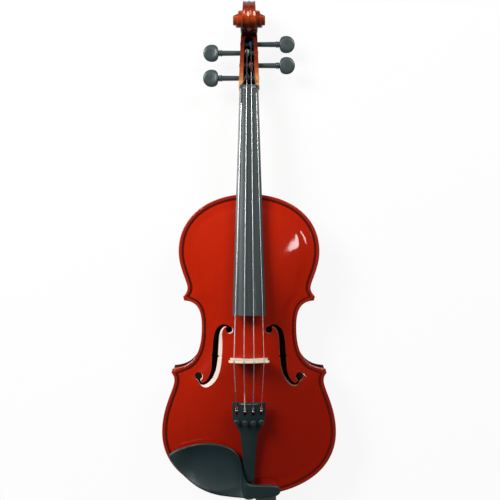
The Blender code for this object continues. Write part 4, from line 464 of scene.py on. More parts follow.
def purfling_and_shade_line():
    """The dark inlaid line of the purfling under the varnish, drawn wider than the inlay: the rest is painted
    shade in the channel.
    """
    finish = Finish("purfling", "varnished_spruce", coat_roughness=0.05, **VARNISHED)
    wander = finish.noise(finish.place(), 260, 3.0)
    finish.colour(finish.ramp(wander, ((0.3, (0.06, 0.003, 0.0008)), (0.7, (0.11, 0.005, 0.001)))))
    finish.bump(wander, 0.08, 0.0003)
    return finish.material


def black_fittings(name, light, dark, stretch, roughness=(0.34, 0.46)):
    """Blackened hardwood, with pores along the grain and a hand-rubbed polish."""
    finish = Finish(name, "black_fittings", coat_weight=0.35, coat_roughness=0.18)
    grain = finish.noise(finish.place(stretch), 1500, 3.0)
    rub = finish.noise(finish.place(), 45, 3.0)
    finish.colour(finish.mix(finish.spread(grain, 0.15, 0.85), light, dark))
    finish.roughness(finish.spread(rub, *roughness))
    finish.bump(grain, 0.07, 0.0002)
    return finish.material


def black_composite():
    """Moulded composite with a satin skin and faint scuffs."""
    finish = Finish("black_composite", "black_composite", coat_weight=0.25, coat_roughness=0.22)
    cloud = finish.noise(finish.place(), 30, 4.0)
    speck = finish.noise(finish.place(), 2600, 2.0)
    finish.colour(finish.mix(finish.spread(cloud, 0.0, 1.0), (0.006, 0.019, 0.02), (0.011, 0.027, 0.029)))
    finish.roughness(finish.spread(cloud, 0.42, 0.54))
    finish.bump(speck, 0.1, 0.0001)
    return finish.material


def wound_wire(name, tint):
    """A flat-wound string: fine ridges across a bright metal."""
    finish = Finish(name, "string_wire", metallic=1.0)
    ridge = finish.noise(finish.place((0.02, 1, 0.02)), 2400, 0.0)
    tarnish = finish.noise(finish.place(), 90, 3.0)
    finish.colour(finish.mix(finish.spread(tarnish, 0.0, 0.6), tint, [0.6 * part for part in tint]))
    finish.roughness(finish.spread(ridge, 0.22, 0.42))
    finish.bump(ridge, 0.4, 0.0001)
    return finish.material


def silk(name, tint):
    """Thread wrapped closely round the end of a string."""
    finish = Finish(name, "string_wire", roughness=0.75, sheen_weight=0.3)
    thread = finish.noise(finish.place((0.05, 1, 0.05)), 3500, 1.0)
    finish.colour(finish.mix(thread, tint, [0.45 * part for part in tint]))
    finish.bump(thread, 0.6, 0.0001)
    return finish.material


def nickel(name, tint, roughness):
    """Plated metal with fine handling marks."""
    finish = Finish(name, "nickel_plate", metallic=1.0)
    mark = finish.noise(finish.place((1, 0.2, 1)), 1300, 4.0)
    haze = finish.noise(finish.place(), 160, 3.0)
    finish.colour(finish.mix(finish.spread(haze, 0.0, 0.6), tint, [0.7 * part for part in tint]))
    finish.roughness(finish.spread(mark, roughness * 0.7, roughness * 1.4))
    finish.bump(mark, 0.08, 0.0001)
    return finish.material


def cork():
    """Pressed cork with dark grains."""
    finish = Finish("cork", "cork", roughness=0.9)
    cell = finish.node("ShaderNodeTexVoronoi", {"Vector": finish.place(), "Scale": 900.0}, "Distance")
    patch = finish.noise(finish.place(), 500, 3.0)
    stops = ((0.35, (0.13, 0.06, 0.025)), (0.5, (0.5, 0.3, 0.15)), (0.8, (0.62, 0.41, 0.23)))
    grain = finish.ramp(patch, stops)
    finish.colour(finish.mix(finish.spread(cell, 0.5, 0.0), grain, (0.2, 0.1, 0.05)))
    finish.bump(cell, 0.6, 0.0003)
    return finish.material


def nylon():
    """Black cord with a slight twist in its surface."""
    finish = Finish("nylon_cord", "nylon_cord")
    twist = finish.noise(finish.place((1, 0.3, 1)), 1500, 2.0)
    finish.colour(finish.mix(twist, (0.012, 0.013, 0.014), (0.035, 0.036, 0.038)))
    finish.roughness(finish.spread(twist, 0.35, 0.55))
    finish.bump(twist, 0.3, 0.0002)
    return finish.material


# The last colour of each varnish is its deeper tone toward the treble lower bout, partly painted shade.
VARNISH = varnished_spruce(
    "varnished_spruce", (0.58, 0.018, 0.0004), (0.42, 0.0105, 0.0003), (0.19, 0.0035, 0.0002)
)
RIM = varnished_spruce("varnished_rim", (0.46, 0.024, 0.005), (0.33, 0.012, 0.003), (0.18, 0.006, 0.002))
# Dark inlay widened by painted shade in the channel beside it.
PURFLING_AND_SHADE = purfling_and_shade_line()
BACK_MAPLE = flamed_maple("varnished_maple", (0.16, 1, 0.3), (0.5, 0.03, 0.0035), (0.24, 0.009, 0.001))
RIB_MAPLE = flamed_maple("varnished_maple_ribs", (1, 1, 0.06), (0.45, 0.028, 0.003), (0.2, 0.008, 0.001))
NECK_MAPLE_AND_PAINTED_LIGHT = neck_maple_and_painted_light()
# Bare wood inside the body, darker than bare spruce: painted shade, so that the inside seen through the sound
# holes looks dark.
SHADED_INSIDE = bare_wood("inside_wood_painted_shade", "bare_spruce", (0.27, 0.19, 0.1), (0.16, 0.11, 0.055), (1, 0.02, 1))
# The pegbox's hollow and peg holes, nearly black: painted shade.
PEGBOX_SHADE = bare_wood(
    "pegbox_painted_shade", "varnished_maple", (0.03, 0.012, 0.008), (0.012, 0.006, 0.005), (1, 0.1, 1)
)
# Cut wood nearly white: the wood's own pale colour, with a painted highlight where the sound holes' leaning
# walls show.
CUT_WOOD_AND_HIGHLIGHT = bare_wood("cut_wood_and_painted_highlight", "bare_spruce", (0.92, 0.78, 0.7), (0.84, 0.62, 0.52), (1, 0.03, 1))
BRIDGE_MAPLE = bare_wood("bare_maple", "bare_maple", (0.9, 0.82, 0.68), (0.75, 0.6, 0.42), (0.1, 1, 1), 900)
BOARD = black_fittings(
    "black_fittings", (0.026, 0.042, 0.043), (0.015, 0.026, 0.027), (1, 0.015, 1), (0.44, 0.54)
)
TURNED_BLACK = black_fittings("black_turned", (0.05, 0.074, 0.075), (0.026, 0.04, 0.04), (0.03, 1, 1))
TAIL_BLACK = black_fittings("black_tail", (0.045, 0.055, 0.055), (0.022, 0.03, 0.03), (0.04, 1, 1))
COMPOSITE = black_composite()
WIRE = wound_wire("string_wire", (0.86, 0.87, 0.88))
SILKS = [
    silk("silk_dark", (0.05, 0.03, 0.04)),
    silk("silk_white", (0.75, 0.75, 0.72)),
    silk("silk_blue", (0.03, 0.12, 0.42)),
    silk("silk_red", (0.6, 0.06, 0.09)),
]
NICKEL = nickel("nickel_plate", (0.5, 0.52, 0.52), 0.38)
DARK_NICKEL = nickel("dark_nickel", (0.11, 0.145, 0.14), 0.5)
CORK = cork()
NYLON = nylon()


def add_mesh(name, points, faces, finishes, indexes=None, place=PLACE):
    """A closed mesh whose faces are turned outward."""
    mesh = bpy.data.meshes.new(name)
    mesh.from_pydata([tuple(map(float, point)) for point in points], [], faces)
    for finish in finishes:
        mesh.materials.append(finish)
    if indexes is not None:
        mesh.polygons.foreach_set("material_index", indexes)
    shape = bmesh.new()
    shape.from_mesh(mesh)
    bmesh.ops.remove_doubles(shape, verts=shape.verts, dist=0.0000005)
    bmesh.ops.recalc_face_normals(shape, faces=shape.faces)
    shape.to_mesh(mesh)
    shape.free()
    mesh.transform(place)
    item = bpy.data.objects.new(name, mesh)
    bpy.context.scene.collection.objects.link(item)
    return item


def baked(item):
    """The piece's mesh with its modifiers made real."""
    bpy.context.view_layer.update()
    graph = bpy.context.evaluated_depsgraph_get()
    mesh = bpy.data.meshes.new_from_object(item.evaluated_get(graph))
    item.modifiers.clear()
    item.data = mesh
    return item


def combine(item, others, operation="DIFFERENCE"):
    """A Boolean of one piece by several others, which are used up."""
    for other in others:
        cut = item.modifiers.new("cut", "BOOLEAN")
        cut.operation = operation
        cut.solver = "EXACT"
        cut.material_mode = "TRANSFER"
        cut.object = other
    baked(item)
    for other in others:
        bpy.data.objects.remove(other, do_unlink=True)
    item.data.validate()
    return item


def softened(item, width, segments=2, angle=35.0):
    """Rounds every sharp edge of a piece."""
    bevel = item.modifiers.new("soft_edges", "BEVEL")
    bevel.width = width
    bevel.segments = segments
    bevel.limit_method = "ANGLE"
    bevel.angle_limit = math.radians(angle)
    return baked(item)


def dress(item, node, sharp=32.0, body=None):
    """Names a finished piece for its node, shades it and lets it ride on the node's body."""
    item.name = f"{node}_shape"
    item.data.shade_smooth()
    item.data.set_sharp_from_angle(angle=math.radians(sharp))
    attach(item, body or BODY_OF[node])
    if node in BODY_OF:
        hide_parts(node)
    return item


def loft(rings):
    """Points and faces of a skin over rings that hold as many points each, capped at both ends."""
    count = len(rings[0])
    points = [point for ring in rings for point in ring]
    faces = [list(range(count)), list(range(len(points) - count, len(points)))]
    for start in range(0, len(points) - count, count):
        for i in range(count):
            follower = (i + 1) % count
            faces.append([start + i, start + follower, start + count + follower, start + count + i])
    return points, faces


def lofted(name, rings, finish, place=PLACE):
    """A solid of one finish over rings."""
    return add_mesh(name, *loft(rings), [finish], place=place)


def tube_faces(rings, sides):
    """Faces of rings that close on themselves both ways, as a washer's do."""
    faces = []
    for ring in range(rings):
        for k in range(sides):
            after, across = (ring + 1) % rings, (k + 1) % sides
            faces.append([ring * sides + k, ring * sides + across, after * sides + across, after * sides + k])
    return faces


def angles(count, shift=0.0):
    """Even angles round a circle. The shift is a share of one step."""
    return [2 * math.pi * (k + shift) / count for k in range(count)]


def circle_ring(radius, height, sides, shift=0.5):
    """Points round the Z axis at one height."""
    return [(radius * math.cos(a), radius * math.sin(a), height) for a in angles(sides, shift)]


def turned(profile, sides):
    """Rings of radii and heights about the Z axis."""
    return [circle_ring(radius, height, sides) for radius, height in profile]


def sweep(path, radii, sides=12):
    """Rings of a round section along a path, with one radius for all or one for each point."""
    path = [Vector(point) for point in path]
    if isinstance(radii, float):
        radii = [radii] * len(path)
    rings = []
    across = None
    for i, (point, radius) in enumerate(zip(path, radii)):
        way = (path[min(i + 1, len(path) - 1)] - path[max(i - 1, 0)]).normalized()
        across = across or way.orthogonal()
        across = (across - way * across.dot(way)).normalized()
        up = way.cross(across)
        ring = []
        for angle in angles(sides):
            ring.append(point + radius * (math.cos(angle) * across + math.sin(angle) * up))
        rings.append(ring)
    return rings


def block(name, low, high, finish, place=PLACE):
    """A box between two corners."""
    (x0, y0, z0), (x1, y1, z1) = low, high
    rings = [[(x0, y0, z), (x1, y0, z), (x1, y1, z), (x0, y1, z)] for z in (z0, z1)]
    return lofted(name, rings, finish, place)


def rod(name, radius, length, finish, place, sides=28):
    """A round bar about the Z axis of its place, centred on its origin."""
    half = length / 2
    return lofted(name, turned(((radius, -half), (radius, half)), sides), finish, place)


def flat_piece(name, outlines, thickness):
    """A flat piece in the XY plane. Outlines after the first are its openings."""
    curve = bpy.data.curves.new(name, "CURVE")
    curve.dimensions = "2D"
    curve.fill_mode = "BOTH"
    curve.extrude = thickness / 2
    for outline in outlines:
        spline = curve.splines.new("POLY")
        spline.points.add(len(outline) - 1)
        for point, (x, y) in zip(spline.points, outline):
            point.co = (x, y, 0.0, 1.0)
        spline.use_cyclic_u = True
    source = bpy.data.objects.new(name, curve)
    bpy.context.scene.collection.objects.link(source)
    bpy.context.view_layer.update()
    mesh = bpy.data.meshes.new_from_object(source.evaluated_get(bpy.context.evaluated_depsgraph_get()))
    bpy.data.objects.remove(source, do_unlink=True)
    points = [vertex.co.copy() for vertex in mesh.vertices]
    faces = [list(polygon.vertices) for polygon in mesh.polygons]
    return points, faces


def surface_of(item):
    """A tree of a piece's faces, for finding levels on it."""
    bpy.context.view_layer.update()
    return BVHTree.FromObject(item, bpy.context.evaluated_depsgraph_get())


def height_from(tree, x, y):
    """The level, in the instrument's frame, where a line from above first meets a surface."""
    origin = PLACE @ Vector((x, y, ABOVE_ALL))
    hit = tree.ray_cast(origin, Vector((0, 0, -1)))[0]
    return (PLACE.inverted() @ hit).z


def smooth_line(points, count):
    """Rows of a smooth curve through the given points."""
    points = np.asarray(points, float)
    padded = np.vstack([2 * points[0] - points[1], points, 2 * points[-1] - points[-2]])
    stations = np.linspace(0, len(points) - 1, count)
    step = np.minimum(stations.astype(int), len(points) - 2)
    t = (stations - step)[:, None]
    a, b, c, d = (padded[step + k] for k in range(4))
    return 0.5 * (2 * b + (c - a) * t + (2 * a - 5 * b + 4 * c - d) * t**2 + (3 * b - a - 3 * c + d) * t**3)


def curved(points, count):
    """The same curve as a list of plain points."""
    return [tuple(p) for p in smooth_line(points, count)]


def smooth_step(value):
    """A smooth climb from 0 to 1 as the value goes from 0 to 1."""
    value = np.clip(value, 0, 1)
    return value * value * (3 - 2 * value)


def span(start, start_way, start_pull, end, end_way, end_pull, count):
    """Points of a cubic curve, without its last one. Pulls are shares of the chord."""
    p0, p3 = Vector(start), Vector(end)
    chord = (p3 - p0).length
    p1 = p0 + Vector(start_way).normalized() * start_pull * chord
    p2 = p3 - Vector(end_way).normalized() * end_pull * chord
    points = []
    for i in range(count):
        t = i / count
        s = 1 - t
        points.append(s**3 * p0 + 3 * s * s * t * p1 + 3 * s * t * t * p2 + t**3 * p3)
    return points


def lower_run(detail):
    """Treble half of the lower bout, from the middle of the tail to the lower corner."""
    bout = (LOWER_BOUT_HALF, LOWER_BOUT_SHARE * BODY_LENGTH)
    pinch = (LOWER_PINCH_HALF, LOWER_PINCH_SHARE * BODY_LENGTH)
    tip = (LOWER_CORNER_HALF, LOWER_CORNER_SHARE * BODY_LENGTH)
    points = span((0, 0), (1, 0), 0.338, bout, (0, 1), 0.432, 9 * detail)
    points += span(bout, (0, 1), 0.475, pinch, (0, 1), 0.159, 4 * detail)
    points += span(pinch, (0, 1), 0.448, tip, (0.7, 1), 0.446, 2 * detail)
    return points + [Vector(tip)]


def waist_run(detail):
    """The waist between the two corners."""
    start = (LOWER_CORNER_HALF - CORNER_LEAN, LOWER_CORNER_SHARE * BODY_LENGTH + CORNER_FACE)
    middle = (WAIST_HALF, WAIST_Y)
    end = (UPPER_CORNER_HALF - CORNER_LEAN, UPPER_CORNER_SHARE * BODY_LENGTH - CORNER_FACE)
    points = span(start, (-1, 0.05), 0.46, middle, (0, 1), 0.438, 7 * detail)
    points += span(middle, (0, 1), 0.509, end, (1, 0.05), 0.44, 6 * detail)
    return points + [Vector(end)]


def upper_run(detail):
    """Treble half of the upper bout, from the upper corner to the neck."""
    tip = (UPPER_CORNER_HALF, UPPER_CORNER_SHARE * BODY_LENGTH)
    pinch = (UPPER_PINCH_HALF, UPPER_PINCH_SHARE * BODY_LENGTH)
    bout = (UPPER_BOUT_HALF, UPPER_BOUT_SHARE * BODY_LENGTH)
    points = span(tip, (-0.7, 1), 0.3, pinch, (0, 1), 0.45, 2 * detail)
    points += span(pinch, (0, 1), 0.15, bout, (0, 1), 0.417, 3 * detail)
    points += span(bout, (0, 1), 0.428, (0, BODY_LENGTH), (-1, 0), 0.397, 9 * detail)
    return points + [Vector((0, BODY_LENGTH))]


def outline_half(detail):
    """Treble half of the body's outline, from the tail to the neck."""
    return lower_run(detail) + waist_run(detail) + upper_run(detail)


def inset(run, distance):
    """A run moved inward by a distance along its own normals."""
    moved = []
    for i, point in enumerate(run):
        way = (run[min(i + 1, len(run) - 1)] - run[max(i - 1, 0)]).normalized()
        moved.append(point + distance * Vector((-way.y, way.x)))
    return moved


def lengths_along(run):
    """The distance from a run's start to each of its points."""
    total = [0.0]
    for a, b in zip(run, run[1:]):
        total.append(total[-1] + (b - a).length)
    return total


def at_length(run, stations):
    """Points of a run at given distances along it."""
    total = lengths_along(run)
    xs = np.interp(stations, total, [p.x for p in run])
    ys = np.interp(stations, total, [p.y for p in run])
    return [Vector((x, y)) for x, y in zip(xs, ys)]


def edge_distance(points, loop):
    """Distance from each point to a closed outline."""
    points = np.asarray(points)[:, None, :]
    start = np.asarray([(p[0], p[1]) for p in loop])
    way = np.roll(start, -1, axis=0) - start
    square = (way**2).sum(axis=1)
    offset = points - start[None]
    along = np.clip((offset * way).sum(axis=2) / square, 0, 1)
    nearest = start + along[..., None] * way
    return np.sqrt(((points - nearest) ** 2).sum(axis=2)).min(axis=1)


def soft_distance(points, loop):
    """A distance to an outline that changes smoothly everywhere, even near its corners."""
    loop = np.asarray([(p[0], p[1]) for p in loop])
    way = np.roll(loop, -1, axis=0) - loop
    middles = np.vstack([loop + share * way for share in (0.125, 0.375, 0.625, 0.875)])
    lengths = np.tile(np.linalg.norm(way, axis=1) / 4, 4)
    square = ((np.asarray(points)[:, None, :] - middles[None]) ** 2).sum(axis=2) + 1e-7
    return (0.75 * (square**-2.5 * lengths).sum(axis=1)) ** -0.25


def arch_share(points, distance):
    """How much of the full arch a plate has at each point, from 0 at the channel to 1."""
    inner = np.maximum(distance - CHANNEL_DISTANCE, 0)
    across = inner / (inner + np.abs(points[:, 0]) + 1e-9)
    along = np.clip(1 - np.abs(2 * points[:, 1] / BODY_LENGTH - 1) ** 2.5, 0, 1) ** 0.8
    return along * np.sin(np.pi / 2 * across**0.75) ** 2 * smooth_step(inner / 0.02)


def channel_dip(distance):
    """Depth of the shallow channel that runs round a plate inside its edge."""
    into = smooth_step((distance - EDGE_ROUNDING) / (CHANNEL_DISTANCE - EDGE_ROUNDING))
    out = smooth_step((CHANNEL_END - distance) / (CHANNEL_END - CHANNEL_DISTANCE))
    return CHANNEL_DEPTH * into * out


class Plate:
    """The treble half of an arched plate, as rows of points that run round the body."""

    def __init__(self, glue_z, way, arch, thickness):
        half = outline_half(6)
        self.glue_z, self.way, self.arch, self.thickness = glue_z, way, arch, thickness
        self.edge = glue_z + way * EDGE_THICKNESS
        self.loop = half + [Vector((-p.x, p.y)) for p in half[-2:0:-1]]
        self.outline = np.array([(p.x, p.y) for p in half])
        near, far = SPINE_BEND, BODY_LENGTH - SPINE_BEND
        spots = [SPINE_LOW, near, far, BODY_LENGTH - SPINE_HIGH]
        ys = np.interp(self.outline[:, 1], [0, near, far, BODY_LENGTH], spots)
        self.spine = np.stack([np.zeros(len(half)), ys], axis=1)

    def inside(self, distance):
        """For each cross row, its point that lies a given distance inside the outline."""
        low, high = np.zeros(len(self.outline)), np.ones(len(self.outline))
        for _ in range(20):
            middle = (low + high) / 2
            points = self.outline + middle[:, None] * (self.spine - self.outline)
            close = edge_distance(points, self.loop) < distance
            low, high = np.where(close, middle, low), np.where(close, high, middle)
        return self.outline + ((low + high) / 2)[:, None] * (self.spine - self.outline)

    def face(self, points):
        """Rise of the outer face over the plate's edge."""
        arch = self.arch * arch_share(points, soft_distance(points, self.loop))
        return arch - channel_dip(edge_distance(points, self.loop))

    def outer_rows(self):
        """Rows of the outer face from the rounded edge to the centre line, each with its rise."""
        rows = []
        for step in range(7):
            angle = math.pi / 2 * step / 6
            level = -0.7 * EDGE_ROUNDING * (1 - math.sin(angle))
            points = self.inside(EDGE_ROUNDING * (1 - math.cos(angle))) if step else self.outline
            rows.append((points, np.full(len(points), level)))
        waist = 1 - smooth_step(np.abs(self.outline[:, 1] - WAIST_Y) / 0.08)
        line = PURFLING_BOUT_DISTANCE + waist * (PURFLING_WAIST_DISTANCE - PURFLING_BOUT_DISTANCE)
        half = PURFLING_AND_SHADE_WIDTH / 2
        near = line - half
        for distance in (0.5 * near, 0.75 * near, near, line, line + half, line + 3 * half):
            points = self.inside(distance)
            rows.append((points, self.face(points)))
        start = self.inside(1.2 * CHANNEL_END)
        for share in np.linspace(0, 1, 22):
            points = start + share * (self.spine - start)
            rows.append((points, self.face(points)))
        return rows

    def mesh(self, finishes):
        """Both halves joined. Finishes are the face, the rim, the purfling with its painted channel shade,
        and the inside, darkened as painted shade.
        """
        rows = self.outer_rows()
        flat = self.inside(MARGIN_WIDTH)
        shown = self.inside(OVERHANG + RIB_THICKNESS)
        inner = [(points, np.zeros(len(points))) for points in (self.outline, shown, flat)]
        for share in np.linspace(0.12, 1, 10):
            points = flat + share * (self.spine - flat)
            hollow = self.arch * arch_share(points, soft_distance(points, self.loop))
            inner.append((points, np.maximum(hollow + EDGE_THICKNESS - self.thickness, 0)))
        grid = [[(x, y, self.glue_z + self.way * z) for (x, y), z in zip(*row)] for row in inner[::-1]]
        grid += [[(x, y, self.edge + self.way * z) for (x, y), z in zip(*row)] for row in rows]
        kinds = [3] * (len(inner) - 2) + [1] * 10 + [2] * 2
        kinds += [0] * (len(grid) - 1 - len(kinds))
        points, faces, indexes = [], [], []
        for side in (1, -1):
            base = len(points)
            points += [(side * x, y, z) for row in grid for x, y, z in row]
            for r, kind in enumerate(kinds):
                for i in range(len(flat) - 1):
                    a = base + r * len(flat) + i
                    faces.append([a, a + 1, a + len(flat) + 1, a + len(flat)])
                    indexes.append(kind)
        return add_mesh("plate", points, faces, finishes, indexes)


def stem_edges():
    """Both edges of a treble sound hole's stem, hooked over into the two eyes."""
    wide = STEM_HALF_WIDTH
    stations = [
        (UPPER_EYE_STEP[0] + 0.0002, UPPER_EYE_STEP[1] + 0.0030, 0.3 * wide),
        (-0.0137, 0.0414, 0.36 * wide),
        (-0.0088, 0.0402, 0.55 * wide),
        (-0.0034, 0.0337, 0.78 * wide),
        (-0.0010, 0.0215, 0.94 * wide),
        (0.0, 0.0065, wide),
        (0.0008, -0.0045, 0.97 * wide),
        (0.0018, -0.0140, 0.86 * wide),
        (0.0037, -0.0225, 0.70 * wide),
        (0.0077, -0.0303, 0.56 * wide),
        (0.0130, -0.0357, 0.46 * wide),
        (0.0185, -0.0366, 0.38 * wide),
        (LOWER_EYE_STEP[0] + 0.0002, LOWER_EYE_STEP[1] - 0.0037, 0.3 * wide),
    ]
    line = smooth_line(stations, 64)
    way = np.gradient(line[:, :2], axis=0)
    way /= np.linalg.norm(way, axis=1)[:, None]
    normal = np.stack([-way[:, 1], way[:, 0]], axis=1) * line[:, 2:]
    return line[:, :2] - normal, line[:, :2] + normal


def eye_arc(centre, radius, start, end, way, count):
    """Points round an eye from near one point to near another, turning one way."""
    first = math.atan2(start[1] - centre[1], start[0] - centre[0])
    sweep_angle = (way * (math.atan2(end[1] - centre[1], end[0] - centre[0]) - first)) % (2 * math.pi)
    angles = first + way * sweep_angle * (np.arange(1, count) / count)
    return np.stack([centre[0] + radius * np.cos(angles), centre[1] + radius * np.sin(angles)], axis=1)


def nicked(edge, way):
    """An edge of the stem, and how far the small notch halfway down it moves each point."""
    k = int(np.argmin(np.abs(edge[:, 1] - 0.0003)))
    x, y = edge[k]
    edge = np.vstack([edge[: k - 1], [(x, y + NICK_HALF), (x, y), (x, y - NICK_HALF)], edge[k + 2 :]])
    step = np.zeros_like(edge)
    step[k, 0] = way * NICK_DEPTH
    return edge, step


def hole_outline():
    """A treble sound hole's whole outline, and the step that its two notches give each point."""
    first, second = stem_edges()
    upper, lower = np.array(UPPER_EYE_STEP), np.array(LOWER_EYE_STEP)

    def outside(edge):
        near_upper = np.linalg.norm(edge - upper, axis=1) < UPPER_EYE_RADIUS
        near_lower = np.linalg.norm(edge - lower, axis=1) < LOWER_EYE_RADIUS
        return edge[~near_upper & ~near_lower]

    first, first_step = nicked(outside(first), -1)
    second, second_step = (rows[::-1] for rows in nicked(outside(second), 1))
    low = eye_arc(lower, LOWER_EYE_RADIUS, first[-1], second[0], 1, 40)
    high = eye_arc(upper, UPPER_EYE_RADIUS, second[-1], first[0], 1, 36)
    steps = [first_step, np.zeros_like(low), second_step, np.zeros_like(high)]
    return np.vstack([first, low, second, high]), np.vstack(steps)


def hole_cutter(side, tree, stem_slope, eye_slope, toward, narrow):
    """A cutter whose walls drop straight through the top but lean back at one side.

    The slopes are the widths of the leaning wall where it faces the way that toward gives.
    The greater narrow is, the faster it gets thinner away from there."""
    ring, nick = hole_outline()
    steps = ring.copy()
    ring = np.stack([side * (SOUND_HOLE_X + ring[:, 0]), BRIDGE_Y + ring[:, 1]], axis=1)
    nick = nick * (side, 1)
    way = np.roll(ring, -1, axis=0) - np.roll(ring, 1, axis=0)
    normal = np.stack([way[:, 1], -way[:, 0]], axis=1)
    normal /= np.linalg.norm(normal, axis=1)[:, None]
    after = np.roll(ring, -1, axis=0)
    if (ring[:, 0] * after[:, 1] - after[:, 0] * ring[:, 1]).sum() < 0:
        normal = -normal
    facing = np.maximum(normal @ np.asarray(Vector(toward).normalized()), 0) ** narrow
    from_upper = np.linalg.norm(steps - np.array(UPPER_EYE_STEP), axis=1) - UPPER_EYE_RADIUS
    from_lower = np.linalg.norm(steps - np.array(LOWER_EYE_STEP), axis=1) - LOWER_EYE_RADIUS
    share = smooth_step(from_upper / 0.02) * smooth_step((from_lower + 0.001) / 0.016)
    shift = ((eye_slope + share * (stem_slope - eye_slope)) * facing)[:, None] * normal
    for _ in range(3):
        shift = (np.roll(shift, 1, axis=0) + 2 * shift + np.roll(shift, -1, axis=0)) / 4
    wide = np.linalg.norm(nick, axis=1) > np.linalg.norm(shift, axis=1)
    shift = np.where(wide[:, None], nick, shift)
    levels = [[], [], [], []]
    for (x, y), (nx, ny), (dx, dy) in zip(ring, nick, shift):
        lip = height_from(tree, x + nx, y + ny) - SLOPE_DEPTH
        far = height_from(tree, x + dx, y + dy)
        levels[0].append((x + nx, y + ny, TOP_GLUE_Z - 0.004))
        levels[1].append((x + nx, y + ny, lip))
        levels[2].append((x + dx, y + dy, far))
        levels[3].append((x + 1.03 * dx, y + 1.03 * dy, TOP_EDGE_Z + TOP_ARCH + 0.006))
    # The leaning wall takes the pale cut wood, whose pallor is partly a painted highlight.
    return lofted("hole_cutter", levels, CUT_WOOD_AND_HIGHLIGHT)


def make_top():
    """The top with its sound holes and its notches for the saddle and the neck's root."""
    plate = Plate(TOP_GLUE_Z, 1, TOP_ARCH, TOP_THICKNESS).mesh([VARNISH, RIM, PURFLING_AND_SHADE, SHADED_INSIDE])
    tree = surface_of(plate)
    cutters = []
    cutters.append(hole_cutter(-1, tree, BASS_SLOPE, EYE_SLOPE, (1, -0.55), 0.6))
    cutters.append(hole_cutter(1, tree, TREBLE_SLOPE, EYE_SLOPE, (-0.35, -0.94), 1.6))
    low = (-SADDLE_HALF - GAP, -0.01, TOP_GLUE_Z - 0.001)
    high = (SADDLE_HALF + GAP, SADDLE_DEPTH + GAP, TOP_EDGE_Z + 0.01)
    cutters.append(block("saddle_notch", low, high, CUT_WOOD_AND_HIGHLIGHT))
    ends = (BODY_LENGTH - NECK_ROOT_DEPTH - GAP, BODY_LENGTH + 0.01)
    cutters.append(lofted("neck_notch", [root_section(y, GAP) for y in ends], CUT_WOOD_AND_HIGHLIGHT))
    dress(combine(plate, cutters), "top_plate", 19.0)
    return tree


def make_back():
    """The back with the round button that the neck's heel is glued to."""
    plate = Plate(BACK_GLUE_Z, -1, BACK_ARCH, BACK_THICKNESS).mesh([BACK_MAPLE, BACK_MAPLE, PURFLING_AND_SHADE, SHADED_INSIDE])
    half = []
    for k in range(15):
        angle = math.pi / 2 * k / 14
        reach = BUTTON_LENGTH - 0.2 * BUTTON_HALF - 0.8 * BUTTON_HALF * (1 - math.sin(angle))
        half.append((BUTTON_HALF * math.cos(angle), BODY_LENGTH + 0.2 * BUTTON_HALF + reach))
    half = [(x, min(y, BODY_LENGTH + BUTTON_LENGTH)) for x, y in half]
    outline = [(BUTTON_HALF, BODY_LENGTH - 0.004)] + half + [(-x, y) for x, y in half[-2::-1]]
    outline += [(-BUTTON_HALF, BODY_LENGTH - 0.004)]
    low, high = BACK_GLUE_Z - EDGE_THICKNESS, BACK_GLUE_Z
    rings = []
    for z, shrink in ((low, 0.9), (low + 0.0004, 0.96), (low + 0.0012, 1.0), (high, 1.0)):
        rings.append([(x * shrink, BODY_LENGTH + (y - BODY_LENGTH) * shrink, z) for x, y in outline])
    button = lofted("button", rings, BACK_MAPLE)
    dress(combine(plate, [button], "UNION"), "back_plate", 24.0)


def rib(node, run, side, start_block, end_block):
    """A bent rib with a lining along each edge, feathered out where it meets a block."""
    length = lengths_along(run)[-1]
    ramp = 0.004
    stations = [0, start_block / 2, start_block]
    stations += list(np.linspace(start_block + ramp, length - end_block - ramp, 70))
    stations += [length - end_block, length - end_block / 2, length]
    stations = sorted(set(stations) | set(np.linspace(0, length, 90)))
    low, high = BACK_GLUE_Z + GAP, TOP_GLUE_Z - GAP
    ahead = at_length(run, [min(station + 0.001, length) for station in stations])
    behind = at_length(run, [max(station - 0.001, 0) for station in stations])
    rings = []
    for station, point, after, before in zip(stations, at_length(run, stations), ahead, behind):
        way = (after - before).normalized()
        normal = Vector((-way.y, way.x))
        room = min(station - start_block, length - end_block - station) / ramp
        lining = RIB_THICKNESS + 0.0003 + (LINING_WIDTH - 0.0003) * float(np.clip(room, 0, 1))
        section = [
            (0, low),
            (lining, low),
            (lining, low + LINING_HEIGHT),
            (RIB_THICKNESS, low + LINING_HEIGHT),
            (RIB_THICKNESS, high - LINING_HEIGHT),
            (lining, high - LINING_HEIGHT),
            (lining, high),
            (0, high),
        ]
        moved = [(point + depth * normal, z) for depth, z in section]
        rings.append([(side * place.x, place.y, z) for place, z in moved])
    points, faces = loft(rings)
    indexes = [0, 0] + [0 if k % 8 == 7 else 1 for k in range(len(faces) - 2)]
    item = add_mesh("rib", points, faces, [RIB_MAPLE, SHADED_INSIDE], indexes)
    if start_block == BOTTOM_BLOCK_HALF:
        combine(item, [rod("drill", BUTTON_SHAFT_RADIUS + GAP, 0.08, SHADED_INSIDE, BUTTON_PLACE)])
    dress(item, node, 28.0)


def open_as_loop(run):
    """An open run as a closed loop that goes there and back, for distances to it."""
    return [(p.x, p.y) for p in run + run[-2:0:-1]]


def clear_of(run, others, distance):
    """A run without the ends that come within a distance of other runs."""
    points = at_length(run, np.linspace(0, lengths_along(run)[-1], 241))
    inner = inset(points, RIB_THICKNESS + GAP)
    near = [edge_distance([(p.x, p.y) for p in line], other) for line in (points, inner) for other in others]
    keep = np.min(near, axis=0) > distance
    return [point for point, kept in zip(points, keep) if kept]


